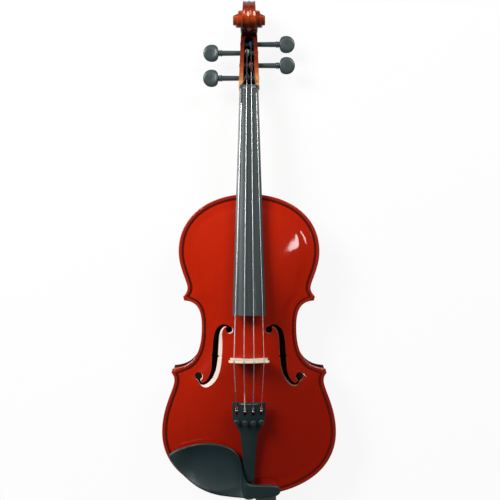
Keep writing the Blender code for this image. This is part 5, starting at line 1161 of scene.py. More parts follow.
def make_ribs():
    """Six ribs, set back from the plates' edge and parted where they meet."""
    lower, waist, upper = (inset(run(6), OVERHANG) for run in (lower_run, waist_run, upper_run))
    lower = at_length(lower, np.linspace(GAP / 2, lengths_along(lower)[-1], 120))
    upper = [p for p in upper if p.x > NECK_ROOT_HALF + GAP or p.y < BODY_LENGTH * 0.9]
    waist = clear_of(waist, [open_as_loop(lower), open_as_loop(upper)], RIB_THICKNESS + 2 * GAP)
    for side, name in ((-1, "bass"), (1, "treble")):
        rib(f"rib_lower_{name}", lower, side, BOTTOM_BLOCK_HALF, BLOCK_HALF)
        rib(f"rib_waist_{name}", waist, side, BLOCK_HALF, BLOCK_HALF)
        rib(f"rib_upper_{name}", upper, side, BLOCK_HALF, NECK_BLOCK_REACH)


def board_plane(y):
    """Level of the plane where the fingerboard is glued to the neck."""
    return NECK_Z - NECK_SLOPE * (y - BODY_LENGTH)


def board_half(y):
    """Half width of the fingerboard."""
    share = (NUT_Y - y) / BOARD_LENGTH
    return BOARD_NUT_HALF + share * (BOARD_END_HALF - BOARD_NUT_HALF)


def board_crown(y, x=0.0):
    """Level of the fingerboard's playing surface."""
    half = board_half(y)
    drop = math.sqrt(BOARD_RADIUS**2 - x**2) - math.sqrt(BOARD_RADIUS**2 - half**2)
    return board_plane(y) + BOARD_EDGE + drop


def pegbox_front(y):
    """Level of the pegbox cheeks' front edges."""
    return board_plane(NUT_Y) - GAP - PEGBOX_FALL * (y - NUT_Y) / PEGBOX_LENGTH


def pegbox_back(y):
    """Level of the pegbox's back, from the chin to the underside of the scroll."""
    start = NUT_Y - CHIN_START
    share = float(smooth_step((y - start) / CHIN_RUN))
    neck = board_plane(NUT_Y) - NECK_DEPTH * 0.95 - 0.10 * (y - NUT_Y)
    reach = (SCROLL_Y - y) / (SCROLL_Y - start)
    bottom = SCROLL_Z - SCROLL_RADIUS
    chin = board_plane(NUT_Y) - CHIN_DEPTH - bottom
    return neck * (1 - share) + (bottom + chin * max(reach, 0) ** 1.5) * share


def pegbox_half(y):
    """Half width of the pegbox, and of the neck of the scroll above it."""
    if y < PEGBOX_END_Y:
        return PEGBOX_NUT_HALF + (y - NUT_Y) / PEGBOX_LENGTH * (PEGBOX_END_HALF - PEGBOX_NUT_HALF)
    share = (y - PEGBOX_END_Y) / (SCROLL_Y - PEGBOX_END_Y)
    return PEGBOX_END_HALF + share * (SCROLL_START_WIDTH / 2 - 0.0001 - PEGBOX_END_HALF)


def round_section(y, half, top, depth, squareness, taper):
    """A section with a flat top and a round or boxy underside."""
    ring = []
    for k in range(SECTION_STEPS + 1):
        angle = math.pi * k / SECTION_STEPS
        c, s = math.cos(angle), math.sin(angle)
        x = math.copysign(abs(c) ** (2 / squareness), c) if abs(c) > 1e-9 else 0.0
        down = s ** (2 / squareness) if s > 1e-9 else 0.0
        ring.append((half * x * (1 - taper * down), y, top - depth * down))
    return ring


def box_section(y, half, top, bottom, flute):
    """A pegbox section: straight cheeks, and a back with a ridge between two flutes."""
    depth = top - bottom
    right = []
    for k in range(SECTION_STEPS // 3):
        share = k / (SECTION_STEPS // 3 - 1)
        corner = max(share - 0.9, 0) / 0.1
        right.append((half * (1 - 0.045 * corner**2), top - depth * (0.985 * share)))
    below = SECTION_STEPS // 2 - len(right)
    for k in range(below):
        share = (k + 0.5) / below
        right.append((half * 0.93 * (1 - share), bottom + flute * math.sin(math.pi * min(1.15 * share, 1))))
    points = right + [(0.0, bottom)] + [(-x, z) for x, z in right[::-1]]
    return [(x, y, z) for x, z in points]


def heel_depth(y):
    """Depth of the neck below the fingerboard plane, deepest at the heel."""
    full = board_plane(y) - GAP - (BACK_GLUE_Z + GAP)
    past = y - (BODY_LENGTH + BUTTON_LENGTH - 0.001)
    if past <= 0:
        return full
    thick = NECK_DEPTH * (1.0 - 0.06 * past / NECK_LENGTH)
    return thick + (full - thick) / (1 + past / HEEL_CURVE) ** 2


def root_section(y, grow=0.0):
    """The neck's root in the body. It narrows toward the back's button."""
    half = NECK_ROOT_HALF + grow
    taper = 1 - BUTTON_HALF / NECK_ROOT_HALF
    depth = heel_depth(BODY_LENGTH) + 2 * grow
    return round_section(y, half, board_plane(BODY_LENGTH) - GAP + grow, depth, 5.0, taper)


def neck_sections():
    """Sections of the neck from its root in the top block to the nut."""
    sections = [root_section(BODY_LENGTH - NECK_ROOT_DEPTH), root_section(BODY_LENGTH)]
    heel_end = BODY_LENGTH + BUTTON_LENGTH - 0.001
    stations = list(np.linspace(BODY_LENGTH + 0.001, heel_end, 14))
    stations += [heel_end + 0.035 * (k / 16) ** 1.8 for k in range(1, 17)]
    stations += list(np.linspace(heel_end + 0.04, NUT_Y - 0.002, 14))
    for y in stations:
        past = max(y - heel_end, 0)
        half = board_half(y) - 0.0004
        if y <= heel_end:
            around = max(y - BODY_LENGTH, 0) / BUTTON_LENGTH
            foot = (BUTTON_HALF - 0.0005) * math.sqrt(max(1 - around**2.6, 0.06))
            taper, squareness = 1 - foot / half, 5.0
        else:
            blend = math.exp(-past / 0.006)
            taper, squareness = 0.55 * blend, 2.25 + 1.2 * blend
        sections.append(round_section(y, half, board_plane(y) - GAP, heel_depth(y), squareness, taper))
    return sections


def pegbox_sections():
    stations = list(np.linspace(NUT_Y, NUT_Y + 0.02, 12))
    stations += list(np.linspace(NUT_Y + 0.022, SCROLL_Y + 0.0012, 26))
    sections = []
    for y in stations:
        flute = SCROLL_FLUTE * float(smooth_step((y - NUT_Y - 0.012) / 0.02))
        sections.append(box_section(y, pegbox_half(y), pegbox_front(y), pegbox_back(y) + 0.00006, flute))
    return sections


def scroll_width(turn):
    """Full width of the scroll at an angle, from its underside round to its eye."""
    early = SCROLL_TOP_WIDTH + (SCROLL_START_WIDTH - SCROLL_TOP_WIDTH) * (1 - float(smooth_step(turn * 4)))
    late = max(turn - 0.25, 0) / (SCROLL_TURNS - 0.25)
    return early + (SCROLL_EYE_WIDTH - SCROLL_TOP_WIDTH) * late**1.15


def scroll_radius(turn):
    """Radius of the scroll's spiral after a number of turns."""
    return SCROLL_RADIUS * math.exp(-SCROLL_SHRINK * 2 * math.pi * turn)


def scroll_point(turn, radius, x):
    """A point at an angle about the scroll's axis."""
    angle = 2 * math.pi * turn
    return (x, SCROLL_Y + radius * math.sin(angle), SCROLL_Z - radius * math.cos(angle))


class Volute:
    """The scroll: a rising spiral whose turns step outward to the eyes.

    Each step round the spiral has a bevelled edge, a hollow inside it and the foot of the wall
    that climbs to the next turn, on both sides. The first turn also has the fluted rim between
    its two edges. The last turn closes on an eye."""

    STEPS = 72
    RIM = (-0.86, -0.68, -0.5, -0.32, -0.14, 0.0, 0.14, 0.32, 0.5, 0.68, 0.86)
    HOLLOW = (0.1, 0.25, 0.45, 0.65, 0.85)

    def __init__(self):
        self.points, self.index, self.faces = [], {}, []
        self.last = int(round(SCROLL_TURNS * self.STEPS))
        for j in range(self.last + 1):
            self.add_step(j)
        eye = scroll_width(SCROLL_TURNS) / 2
        for side in (-1, 1):
            self.add(("eye", side), (side * (eye + 0.0004), SCROLL_Y, SCROLL_Z))
        self.join_rim()
        for side in (-1, 1):
            self.join_side(side)
        self.join_start()

    def add(self, key, point):
        self.index[key] = len(self.points)
        self.points.append(point)

    def add_step(self, j):
        """The points of one step: both sides of the spiral and the rim between them."""
        turn = j / self.STEPS
        radius, half = scroll_radius(turn), scroll_width(turn) / 2
        bevel = SCROLL_BEVEL * min(1, radius / 0.012)
        for side in (-1, 1):
            self.add(("edge", j, side), scroll_point(turn, radius, side * (half - bevel)))
            self.add(("lip", j, side), scroll_point(turn, radius - bevel, side * half))
            if j <= self.last - self.STEPS:
                base = scroll_radius(turn + 1) + 0.0003
                depth = SCROLL_HOLLOW * float(smooth_step(turn * 5))
                for k, share in enumerate(self.HOLLOW):
                    low = radius - bevel + share * (base - radius + bevel)
                    sunk = depth * (0.6 * share + 0.55 * math.sin(math.pi * share) ** 0.8)
                    self.add(("hollow", k, j, side), scroll_point(turn, low, side * (half - sunk)))
                self.add(("foot", j, side), scroll_point(turn, base, side * (half - 0.55 * depth)))
            if j >= self.last - self.STEPS:
                boss = 0.95 * scroll_radius(SCROLL_TURNS)
                face = scroll_width(SCROLL_TURNS) / 2
                sink = min(0.0004, face - half)
                self.add(("disc", j, side), scroll_point(turn, boss, side * (half - sink)))
                self.add(("boss", j, side), scroll_point(turn, 0.98 * boss, side * face))
                self.add(("crown", j, side), scroll_point(turn, 0.86 * boss, side * (face + 0.0003)))
        if j <= self.STEPS:
            for k, share in enumerate(self.RIM):
                dip = SCROLL_FLUTE * math.sin(math.pi * abs(share)) ** 0.9
                self.add(("rim", k, j), scroll_point(turn, radius - dip, share * (half - bevel)))

    def strip(self, first, second, j):
        """A face between two keys that take a step number, at this step and the next."""
        keys = (first(j), second(j), second(j + 1), first(j + 1))
        self.faces.append([self.index[key] for key in keys])

    def rim_keys(self):
        keys = [lambda j: ("edge", j, -1)]
        keys += [lambda j, k=k: ("rim", k, j) for k in range(len(self.RIM))]
        return keys + [lambda j: ("edge", j, 1)]

    def side_keys(self, side):
        keys = [lambda j: ("edge", j, side), lambda j: ("lip", j, side)]
        keys += [lambda j, k=k: ("hollow", k, j, side) for k in range(len(self.HOLLOW))]
        return keys + [lambda j: ("foot", j, side), lambda j: ("edge", j + self.STEPS, side)]

    def join_rim(self):
        keys = self.rim_keys()
        for j in range(self.STEPS):
            for first, second in zip(keys, keys[1:]):
                self.strip(first, second, j)

    def join_side(self, side):
        """The faces of one side, from the outer edge to the eye."""
        keys = self.side_keys(side)
        end = self.last - self.STEPS
        for j in range(end):
            for first, second in zip(keys, keys[1:]):
                self.strip(first, second, j)
        inner = [lambda j, name=name: (name, j, side) for name in ("edge", "lip", "disc", "boss", "crown")]
        for j in range(end, self.last):
            for first, second in zip(inner, inner[1:]):
                self.strip(first, second, j)
            corners = (("crown", j, side), ("crown", j + 1, side), ("eye", side))
            self.faces.append([self.index[key] for key in corners])
        closing = [("disc", end, side)] + [key(end) for key in keys[1:-1]]
        closing += [("edge", self.last, side), ("lip", self.last, side), ("disc", self.last, side)]
        self.faces.append([self.index[key] for key in closing])

    def join_start(self):
        rim = self.rim_keys()
        ring = [key(0) for key in rim] + [key(0) for key in self.side_keys(1)[1:-1]]
        ring += [key(self.STEPS) for key in rim[::-1]]
        ring += [key(0) for key in self.side_keys(-1)[1:-1][::-1]]
        self.faces.append([self.index[key] for key in ring])


def make_neck():
    """Neck, pegbox and scroll in one piece of wood."""
    neck = lofted("neck", neck_sections() + pegbox_sections(), NECK_MAPLE_AND_PAINTED_LIGHT)
    volute = Volute()
    combine(neck, [add_mesh("volute", volute.points, volute.faces, [NECK_MAPLE_AND_PAINTED_LIGHT])], "UNION")
    start, end = NUT_Y + NUT_WIDTH + GAP, PEGBOX_END_Y - 0.002
    rings = []
    for share in np.linspace(0, 1, 16):
        y = start + share * (end - start)
        round_end = math.sqrt(max(1 - max(share - 0.93, 0) ** 2 / 0.07**2, 0.05))
        half = (CAVITY_NUT_HALF + share * (CAVITY_END_HALF - CAVITY_NUT_HALF)) * round_end
        floor = pegbox_back(y) + CAVITY_FLOOR
        rings.append([(-half, y, floor), (half, y, floor), (half, y, 0.1), (-half, y, 0.1)])
    cutters = [lofted("cavity", rings, PEGBOX_SHADE)]
    for i in range(4):
        place = PLACE @ Matrix.Translation(peg_place(i)) @ Z_TO_X
        cutters.append(rod("peg_hole", PEG_LARGE_RADIUS + 0.00045, 0.06, PEGBOX_SHADE, place))
    dress(combine(neck, cutters), "neck_and_scroll", 33.0)


def peg_place(i):
    """Centre of a peg in the pegbox."""
    y = NUT_Y + PEG_REACHES[i]
    return Vector((0.0, y, pegbox_front(y) - PEG_DROP))


def make_fingerboard():
    """A board with a rounded face, hollowed underneath past the end of the neck."""
    end = NUT_Y - BOARD_LENGTH
    hollow_start = BODY_LENGTH - NECK_ROOT_DEPTH - 0.004
    rings = []
    for y in [end, end + 0.0004] + list(np.linspace(end + 0.01, NUT_Y - GAP, 30)):
        half, plane = board_half(y), board_plane(y)
        trim = 0.0004 if y == end else 0.0
        ring = [(half - trim, y, plane + BOARD_EDGE - 0.0011)]
        for k in range(33):
            x = (half - 0.0005 - trim) * math.cos(math.pi * k / 32)
            ring.append((x, y, board_crown(y, x) - 0.0002 * (k in (0, 32)) - trim))
        ring.append((trim - half, y, plane + BOARD_EDGE - 0.0011))
        ring.append((trim - half, y, plane))
        depth = BOARD_HOLLOW * float(smooth_step((hollow_start - y) / 0.03))
        for share in np.linspace(-0.88, 0.88, 15):
            ring.append((share * half, y, plane + depth * (1 - share**2 / 0.8) * (share**2 < 0.8)))
        ring.append((half - trim, y, plane))
        rings.append(ring)
    dress(lofted("fingerboard", rings, BOARD), "fingerboard", 25.0)


def nut_string_z(i):
    """Level of a string's centre where it lies on the nut."""
    return board_crown(NUT_Y, NUT_XS[i]) + NUT_RISE


def notch(x, z, string_radius):
    """A round notch that a string lies in, as steps across and levels."""
    radius = string_radius + 1.4 * GAP
    steps = [math.pi * k / 10 for k in range(11)]
    return [(x - radius * math.cos(a), z - radius * math.sin(a)) for a in steps]


def make_nut():
    """The nut, with a groove for each string and a top that falls toward the pegbox."""
    base, half = board_plane(NUT_Y), BOARD_NUT_HALF
    rings = []
    for step in np.linspace(0, 1, 9):
        fall = NUT_FALL * step**1.6
        fan = 1 + (NUT_FAN - 1) * step
        shoulder = 0.0012 * step**3
        profile = [(-half, base), (-half, board_crown(NUT_Y, half) - fall - shoulder)]
        profile.append((-half + 0.0008, board_crown(NUT_Y, half) - fall + 0.0006))
        for i in range(4):
            profile += notch(NUT_XS[i] * fan, nut_string_z(i) - fall, STRING_RADII[i])
        profile.append((half - 0.0008, board_crown(NUT_Y, half) - fall + 0.0006))
        profile += [(half, board_crown(NUT_Y, half) - fall - shoulder), (half, base)]
        rings.append([(x, NUT_Y + step * NUT_WIDTH, z) for x, z in profile])
    dress(lofted("nut", rings, TURNED_BLACK), "nut", 30.0)


def bridge_string_z(i):
    """Level of a string's centre on the bridge's curved top."""
    x = BRIDGE_XS[i]
    return BRIDGE_STRING_HEIGHT - 0.002 * (i / 3) - BRIDGE_RADIUS + math.sqrt(BRIDGE_RADIUS**2 - x**2)


def heart_outline(middle):
    """The heart-shaped opening in the bridge, about a level."""
    heart = []
    for angle in angles(48, 0.5):
        wide = 0.0055 * math.sin(angle) ** 3
        tall = 0.0048 * (math.cos(angle) - 0.38 * math.cos(2 * angle) - 0.15 * math.cos(3 * angle))
        heart.append((wide, middle + tall))
    return heart


def bridge_outlines(tree):
    """The bridge's outline with its feet, arch, side cuts and string notches, and its heart."""
    outer, inner = BRIDGE_FOOT_HALF, BRIDGE_FOOT_HALF - BRIDGE_FOOT_LENGTH
    half = BRIDGE_FOOT_THICKNESS / 2

    def foot_level(x):
        return max(height_from(tree, x, BRIDGE_SEAT_Y + step) for step in (-half, half)) + GAP / 2

    foot = foot_level(outer)
    rise = BRIDGE_STRING_HEIGHT - foot
    under = [(x, foot_level(x)) for x in np.linspace(inner, outer, 6)]
    flank = [
        (outer, foot + 0.0012),
        (outer - 0.0018, foot + 0.0028),
        (outer - 0.0042, foot + 0.0060),
        (outer - 0.0054, foot + 0.24 * rise),
        (outer - 0.0036, foot + 0.31 * rise),
        (outer - 0.0014, foot + 0.35 * rise),
        (outer - 0.0022, foot + 0.39 * rise),
        (outer - 0.0060, foot + 0.405 * rise),
        (outer - 0.0094, foot + 0.43 * rise),
        (outer - 0.0100, foot + 0.47 * rise),
        (outer - 0.0078, foot + 0.51 * rise),
        (outer - 0.0044, foot + 0.505 * rise),
        (outer - 0.0004, foot + 0.54 * rise),
        (outer + 0.0014, foot + 0.62 * rise),
        (outer + 0.0010, foot + 0.73 * rise),
        (outer - 0.0008, foot + 0.83 * rise),
    ]
    right = under + curved(flank, 54)
    ends = []
    for i, side in ((0, -1), (3, 1)):
        ends.append((BRIDGE_XS[i] + side * 0.0029, bridge_string_z(i) - 0.0012))
    outline = [(-x, z) for x, z in right] + [ends[0]]
    for i in range(4):
        outline += notch(BRIDGE_XS[i], bridge_string_z(i), STRING_RADII[i])
    outline += [ends[1]] + right[::-1]
    arch = [
        (inner * 0.95, foot + 0.06 * rise),
        (inner * 0.8, foot + 0.12 * rise),
        (inner * 0.45, foot + 0.165 * rise),
        (0.0, foot + 0.185 * rise),
    ]
    curve = curved(arch + [(-x, z) for x, z in arch[2::-1]], 30)
    return outline + curve, heart_outline(foot + 0.52 * rise), foot, rise


def make_bridge(tree):
    """The bridge, thinner toward its top, with its feet fitted to the arched top."""
    outline, heart, foot, rise = bridge_outlines(tree)
    flat, faces = flat_piece("bridge", [outline, heart], 2.0)
    points = []
    for x, z, side in flat:
        share = min(max((z - foot) / rise, 0), 1)
        thick = BRIDGE_FOOT_THICKNESS + share**0.9 * (BRIDGE_TOP_THICKNESS - BRIDGE_FOOT_THICKNESS)
        middle = BRIDGE_SEAT_Y - (BRIDGE_FOOT_THICKNESS - thick) / 2 - BRIDGE_LEAN * share
        points.append((x, middle + side * thick / 2, z))
    bridge = add_mesh("bridge", points, faces, [BRIDGE_MAPLE])
    dress(softened(bridge, 0.00025, 2, 60.0), "bridge", 35.0)


def saddle_crest():
    """Level of the saddle's top."""
    return TOP_EDGE_Z + SADDLE_RISE


def tail_line():
    """Where the tailpiece's own frame starts, and its angle to the belly."""
    low = Vector((0.0, SADDLE_DEPTH / 2, saddle_crest() + TAILGUT_RADIUS))
    way = (Vector((0.0, BRIDGE_Y, BRIDGE_STRING_HEIGHT)) - low).normalized()
    return low + way * (TAILPIECE_END_Y - low.y) / way.y, math.atan2(way.z, way.y)


TAIL_START, TAIL_ANGLE = tail_line()
TAIL_PLACE = PLACE @ Matrix.Translation(TAIL_START) @ Matrix.Rotation(TAIL_ANGLE, 4, "X")


def from_tailpiece(point):
    """A point of the tailpiece's frame in the instrument's frame."""
    return TAIL_START + Matrix.Rotation(TAIL_ANGLE, 3, "X") @ Vector(point)


def tailpiece_half(y):
    """Half width of the tailpiece at a distance from its tail."""
    waist, shoulder = TAILPIECE_WAIST_SHARE * TAILPIECE_LENGTH, TAILPIECE_SHOULDER_SHARE * TAILPIECE_LENGTH
    slim = TAILPIECE_TAIL_HALF + min(y / waist, 1) ** 1.6 * (TAILPIECE_WAIST_HALF - TAILPIECE_TAIL_HALF)
    flare = float(smooth_step((y - waist) / (shoulder - waist)))
    wide = TAILPIECE_HEAD_HALF - TAILPIECE_WAIST_HALF
    return slim + 0.93 * wide * flare + 0.07 * wide * min(max(y / TAILPIECE_LENGTH, 0), 1) ** 4


def tailpiece_top(x):
    """Level of the tailpiece's face in its own frame."""
    return math.sqrt(TAILPIECE_RADIUS**2 - x**2) - TAILPIECE_RADIUS - TAILPIECE_CROWN


def tailpiece_ring(y, shrink, lid, floor):
    """A section of the tailpiece, or of its hollow when shrunk."""
    half = tailpiece_half(y) - shrink
    ring = [(half, y, tailpiece_top(half) - lid - 0.0008)]
    for k in range(25):
        x = (half - 0.0004) * math.cos(math.pi * k / 24)
        ring.append((x, y, tailpiece_top(x) - lid - 0.0001 * (k in (0, 24))))
    ring.append((-half, y, tailpiece_top(half) - lid - 0.0008))
    side = min(floor, tailpiece_top(half) - lid - 0.002)
    return ring + [(-half, y, side), (half, y, side)]


def make_tailpiece():
    """A moulded tailpiece with an open slot, a screw hole and room below for each tuner."""
    shoulder = TAILPIECE_SHOULDER_SHARE * TAILPIECE_LENGTH
    length = TAILPIECE_LENGTH - TAILPIECE_TRIM
    stations = [0, 0.0004, 0.0012] + list(np.linspace(0.003, length - 0.0015, 44))
    stations += [length - 0.0004, length]
    rings = []
    for y in stations:
        share = float(smooth_step(y / shoulder))
        depth = TAILPIECE_TAIL_DEPTH + share * (TAILPIECE_DEPTH - TAILPIECE_TAIL_DEPTH)
        end = min(y, length - y)
        trim = 0.0011 * (1 - math.sqrt(1 - max(1 - end / 0.0011, 0) ** 2)) if end < 0.0011 else 0.0
        ring = tailpiece_ring(y, trim, trim, trim - depth)
        pull = TAILPIECE_UNDERCUT * float(smooth_step((y - length + 0.03) / 0.03))
        rings.append([(px, py + pull * min(pz + 0.006, 0), pz) for px, py, pz in ring])
    piece = lofted("tailpiece", rings, COMPOSITE, TAIL_PLACE)
    start = AXLE_REACH - TUNER_SCREW_REACH - TUNER_ARM_END - 0.0015
    inner = []
    for y in (start, (start + shoulder) / 2, shoulder, TAILPIECE_LENGTH - 1.3 * TAILPIECE_SHELL):
        inner.append(tailpiece_ring(y, TAILPIECE_SHELL, TAILPIECE_SHELL, -0.04))
    cutters = [lofted("tail_hollow", inner, COMPOSITE, TAIL_PLACE)]
    for x in TAILPIECE_XS:
        half = LEVER_THICKNESS / 2 + 0.0005
        low = (x - half, AXLE_REACH - 0.0035, tailpiece_top(x) - 2 * TAILPIECE_SHELL)
        high = (x + half, AXLE_REACH + HOOK_REACH + 0.003, 0.02)
        cutters.append(block("lever_slot", low, high, COMPOSITE, TAIL_PLACE))
        place = TAIL_PLACE @ Matrix.Translation((x, AXLE_REACH - TUNER_SCREW_REACH, tailpiece_top(x)))
        cutters.append(rod("screw_hole", TUNER_SCREW_RADIUS + GAP, 0.012, COMPOSITE, place))
    low = (-FRET_HALF, FRET_REACH - FRET_HALF_WIDTH, fret_floor())
    high = (FRET_HALF, FRET_REACH + FRET_HALF_WIDTH, 0.01)
    cutters.append(block("fret_groove", low, high, COMPOSITE, TAIL_PLACE))
    place = TAIL_PLACE @ Matrix.Translation((0, AXLE_REACH, -AXLE_DROP)) @ Z_TO_X
    cutters.append(rod("axle_bore", AXLE_RADIUS + GAP, 2.5 * TAILPIECE_HEAD_HALF, COMPOSITE, place))
    dress(combine(piece, cutters), "tailpiece", 27.0)


def fret_floor():
    """Level of the floor of the groove that the fret lies in."""
    return tailpiece_top(TAILPIECE_HEAD_HALF * 0.5) - FRET_DEPTH


def make_fret():
    """The light bar let into the tailpiece's head under the strings."""
    half = FRET_HALF - GAP
    bottom = fret_floor() + GAP
    rings = []
    for step in (-1, -0.7, -0.3, 0.3, 0.7, 1):
        y = FRET_REACH + step * (FRET_HALF_WIDTH - GAP / 3)
        ring = [(-half, y, bottom), (half, y, bottom)]
        for k in range(25):
            x = half * math.cos(math.pi * k / 24)
            ring.append((x, y, max(tailpiece_top(x) + 0.0003 - 0.0002 * step**2, bottom + 0.0003)))
        rings.append(ring)
    dress(lofted("fret", rings, NICKEL, TAIL_PLACE), "tailpiece_fret", 40.0)


def make_lever(i):
    """The bent lever that holds a string in its forked hook."""
    x, surface = TAILPIECE_XS[i], tailpiece_top(TAILPIECE_XS[i])
    hook = surface + TAILPIECE_CROWN + AXLE_DROP
    arm = -TUNER_SCREW_REACH - TUNER_ARM_END
    profile = [(arm, -0.0012), (-0.0026, -0.0022), (-0.0013, -0.0025), (0.0, -0.0026), (0.0014, -0.0022)]
    profile += [(0.0026, -0.0014), (0.0036, 0.0006), (0.0042, 0.0030), (HOOK_REACH + 0.0012, hook - 0.001)]
    profile += [(HOOK_REACH + 0.0014, hook + 0.0006), (HOOK_REACH + 0.0008, hook + 0.0012)]
    profile += [(HOOK_REACH - 0.0008, hook + 0.0012), (HOOK_REACH - 0.0014, hook + 0.0006)]
    profile += [(0.0006, 0.0030), (-0.0006, 0.0019), (-0.0022, 0.0014), (arm, 0.0012)]
    around = np.linspace(0, 2 * math.pi, 25)[:-1]
    bore = [(AXLE_RADIUS + GAP) * Vector((math.cos(a), math.sin(a))) for a in around]
    flat, faces = flat_piece("lever", [profile, bore], LEVER_THICKNESS)
    place = TAIL_PLACE @ Matrix.Translation((x, AXLE_REACH, -AXLE_DROP))
    points = [(across, along, up) for along, up, across in flat]
    lever = add_mesh("lever", points, faces, [NICKEL], place=place)
    gape = STRING_RADII[i] + GAP
    slot = block("hook_slot", (-gape, 0.002, hook - 0.0036), (gape, 0.02, hook + 0.01), NICKEL, place)
    softened(combine(lever, [slot]), 0.00018, 2, 50.0)
    dress(lever, f"tuner_lever_{STRING_NAMES[i]}", 35.0)


def make_screw_and_knob(i):
    """A threaded screw and its ridged knob with a domed head."""
    name, x = STRING_NAMES[i], TAILPIECE_XS[i]
    tip = -AXLE_DROP + 0.0012 + 1.6 * GAP
    neck = tailpiece_top(x) + TUNER_TRAVEL + TUNER_CLEARANCE
    length = neck - GAP - tip
    profile = [(TUNER_SCREW_RADIUS * 0.6, tip)]
    ridges = int(length / 0.0005)
    for k in range(ridges):
        z = tip + 0.0003 + k * (length - 0.0004) / ridges
        profile += [(TUNER_SCREW_RADIUS * 0.84, z), (TUNER_SCREW_RADIUS, z + 0.00025)]
    profile.append((TUNER_SCREW_RADIUS * 0.84, neck - GAP))
    place = TAIL_PLACE @ Matrix.Translation((x, AXLE_REACH - TUNER_SCREW_REACH, 0))
    dress(lofted("screw", turned(profile, 20), NICKEL, place), f"tuner_screw_{name}", 25.0)
    rings = []
    for share, level in KNOB_PROFILE:
        ring = []
        for angle in angles(96):
            ridge = 1 - 0.045 * (0.5 + 0.5 * math.cos(24 * angle)) * (share > 0.95)
            reach = TUNER_KNOB_RADIUS * share * ridge
            ring.append((reach * math.cos(angle), reach * math.sin(angle), neck + level * TUNER_KNOB_HEIGHT))
        rings.append(ring)
    knob = lofted("knob", rings, DARK_NICKEL, place)
    dress(knob, f"tuner_knob_{name}", 30.0)


def winding_x(i):
    """Where a string winds on its peg, on the side of the peg's head."""
    return PEG_SIDES[i] * WINDING_OFFSET


def winding_radius(i):
    """Outer radius of the turns of string on a peg."""
    return PEG_LARGE_RADIUS + 0.0006 + 2 * STRING_RADII[i]


def string_points(i):
    """The string's route from its peg, over the nut and the bridge, to its tuner."""
    radius = STRING_RADII[i]
    peg = peg_place(PEG_ORDER.index(i))
    back = Vector((NUT_XS[i] * NUT_FAN, NUT_Y + NUT_WIDTH, nut_string_z(i) - NUT_FALL))
    reach = winding_radius(i) + radius + GAP
    gap = Vector((0, peg.y - back.y, peg.z - back.z))
    tangent = math.atan2(gap.z, gap.y) + math.asin(reach / gap.length)
    length = math.sqrt(gap.length**2 - reach**2)
    end = Vector((winding_x(i), back.y + length * math.cos(tangent), back.z + length * math.sin(tangent)))
    front = Vector((NUT_XS[i], NUT_Y, nut_string_z(i)))
    crest = BRIDGE_SEAT_Y - (BRIDGE_FOOT_THICKNESS - BRIDGE_TOP_THICKNESS) / 2 - BRIDGE_LEAN
    bridge = Vector((BRIDGE_XS[i], crest, bridge_string_z(i)))
    level = tailpiece_top(TAILPIECE_XS[i]) + TAILPIECE_CROWN
    hook = from_tailpiece((TAILPIECE_XS[i], AXLE_REACH + HOOK_REACH - 0.0016, level))
    return [end, back, front, bridge, hook]


def make_string(i):
    """A wound string with silk at both ends, and the ball that its hook holds."""
    corners = string_points(i)
    stations = []
    for start, end in zip(corners, corners[1:]):
        count = max(int((end - start).length / 0.003), 3)
        stations += [start + (end - start) * k / count for k in range(count)]
    stations.append(corners[-1])
    total = lengths_along(stations)
    radius = STRING_RADII[i]
    silky = [2 * (along < PEG_SILK) or int(along > total[-1] - TAIL_SILK) for along in total]
    radii = [radius + SILK_THICKNESS * (wrapped > 0) for wrapped in silky]
    sides = 14
    points, faces = loft(sweep(stations, radii, sides))
    indexes = [2, 1]
    for k in range(len(stations) - 1):
        indexes += [min(silky[k], silky[k + 1])] * sides
    name = f"string_{STRING_NAMES[i]}"
    dress(add_mesh(name, points, faces, [WIRE, SILKS[i], SILKS[0]], indexes), name, 50.0)
    x = TAILPIECE_XS[i]
    centre = from_tailpiece((x, AXLE_REACH + HOOK_REACH - 0.0030, tailpiece_top(x) + TAILPIECE_CROWN))
    place = PLACE @ Matrix.Translation(centre) @ Z_TO_X
    end = lofted("ball", turned(BALL_PROFILE, 24), NICKEL, place)
    dress(end, f"{name}_ball_end", 40.0, f"tuner_lever_{STRING_NAMES[i]}")


def peg_sections(small_end, collar):
    """Sections of a peg from its tip: distance, half height, half thickness and hollow."""
    large, small = PEG_LARGE_RADIUS, PEG_SMALL_RADIUS
    head = collar + PEG_COLLAR_LENGTH
    tall, thick, long = PEG_HEAD_WIDTH / 2, PEG_HEAD_THICKNESS / 2, PEG_HEAD_LENGTH
    sections = [(small_end, 0.82 * small, 0.82 * small, 0), (small_end + 0.0005, small, small, 0)]
    sections += [(collar - 0.0002, large, large, 0)]
    for share, swell in COLLAR_SWELLS:
        sections.append((collar + share * PEG_COLLAR_LENGTH, swell * large, swell * large, 0))
    shape = [
        (head, 0.95 * large, 0.85 * large, 0),
        (head + 0.03 * long, 0.46 * tall, 0.8 * thick, 0),
        (head + 0.07 * long, 0.66 * tall, 0.92 * thick, 0.1),
        (head + 0.14 * long, 0.83 * tall, 0.95 * thick, 0.3),
        (head + 0.26 * long, 0.95 * tall, 0.88 * thick, 0.5),
        (head + 0.42 * long, tall, 0.8 * thick, 0.6),
        (head + 0.62 * long, 0.96 * tall, 0.75 * thick, 0.5),
        (head + 0.80 * long, 0.79 * tall, 0.7 * thick, 0.3),
        (head + 0.92 * long, 0.53 * tall, 0.6 * thick, 0.1),
        (head + 0.98 * long, 0.28 * tall, 0.42 * thick, 0),
        (head + long, 0.06 * tall, 0.12 * thick, 0),
    ]
    return sections + curved(shape, 60)


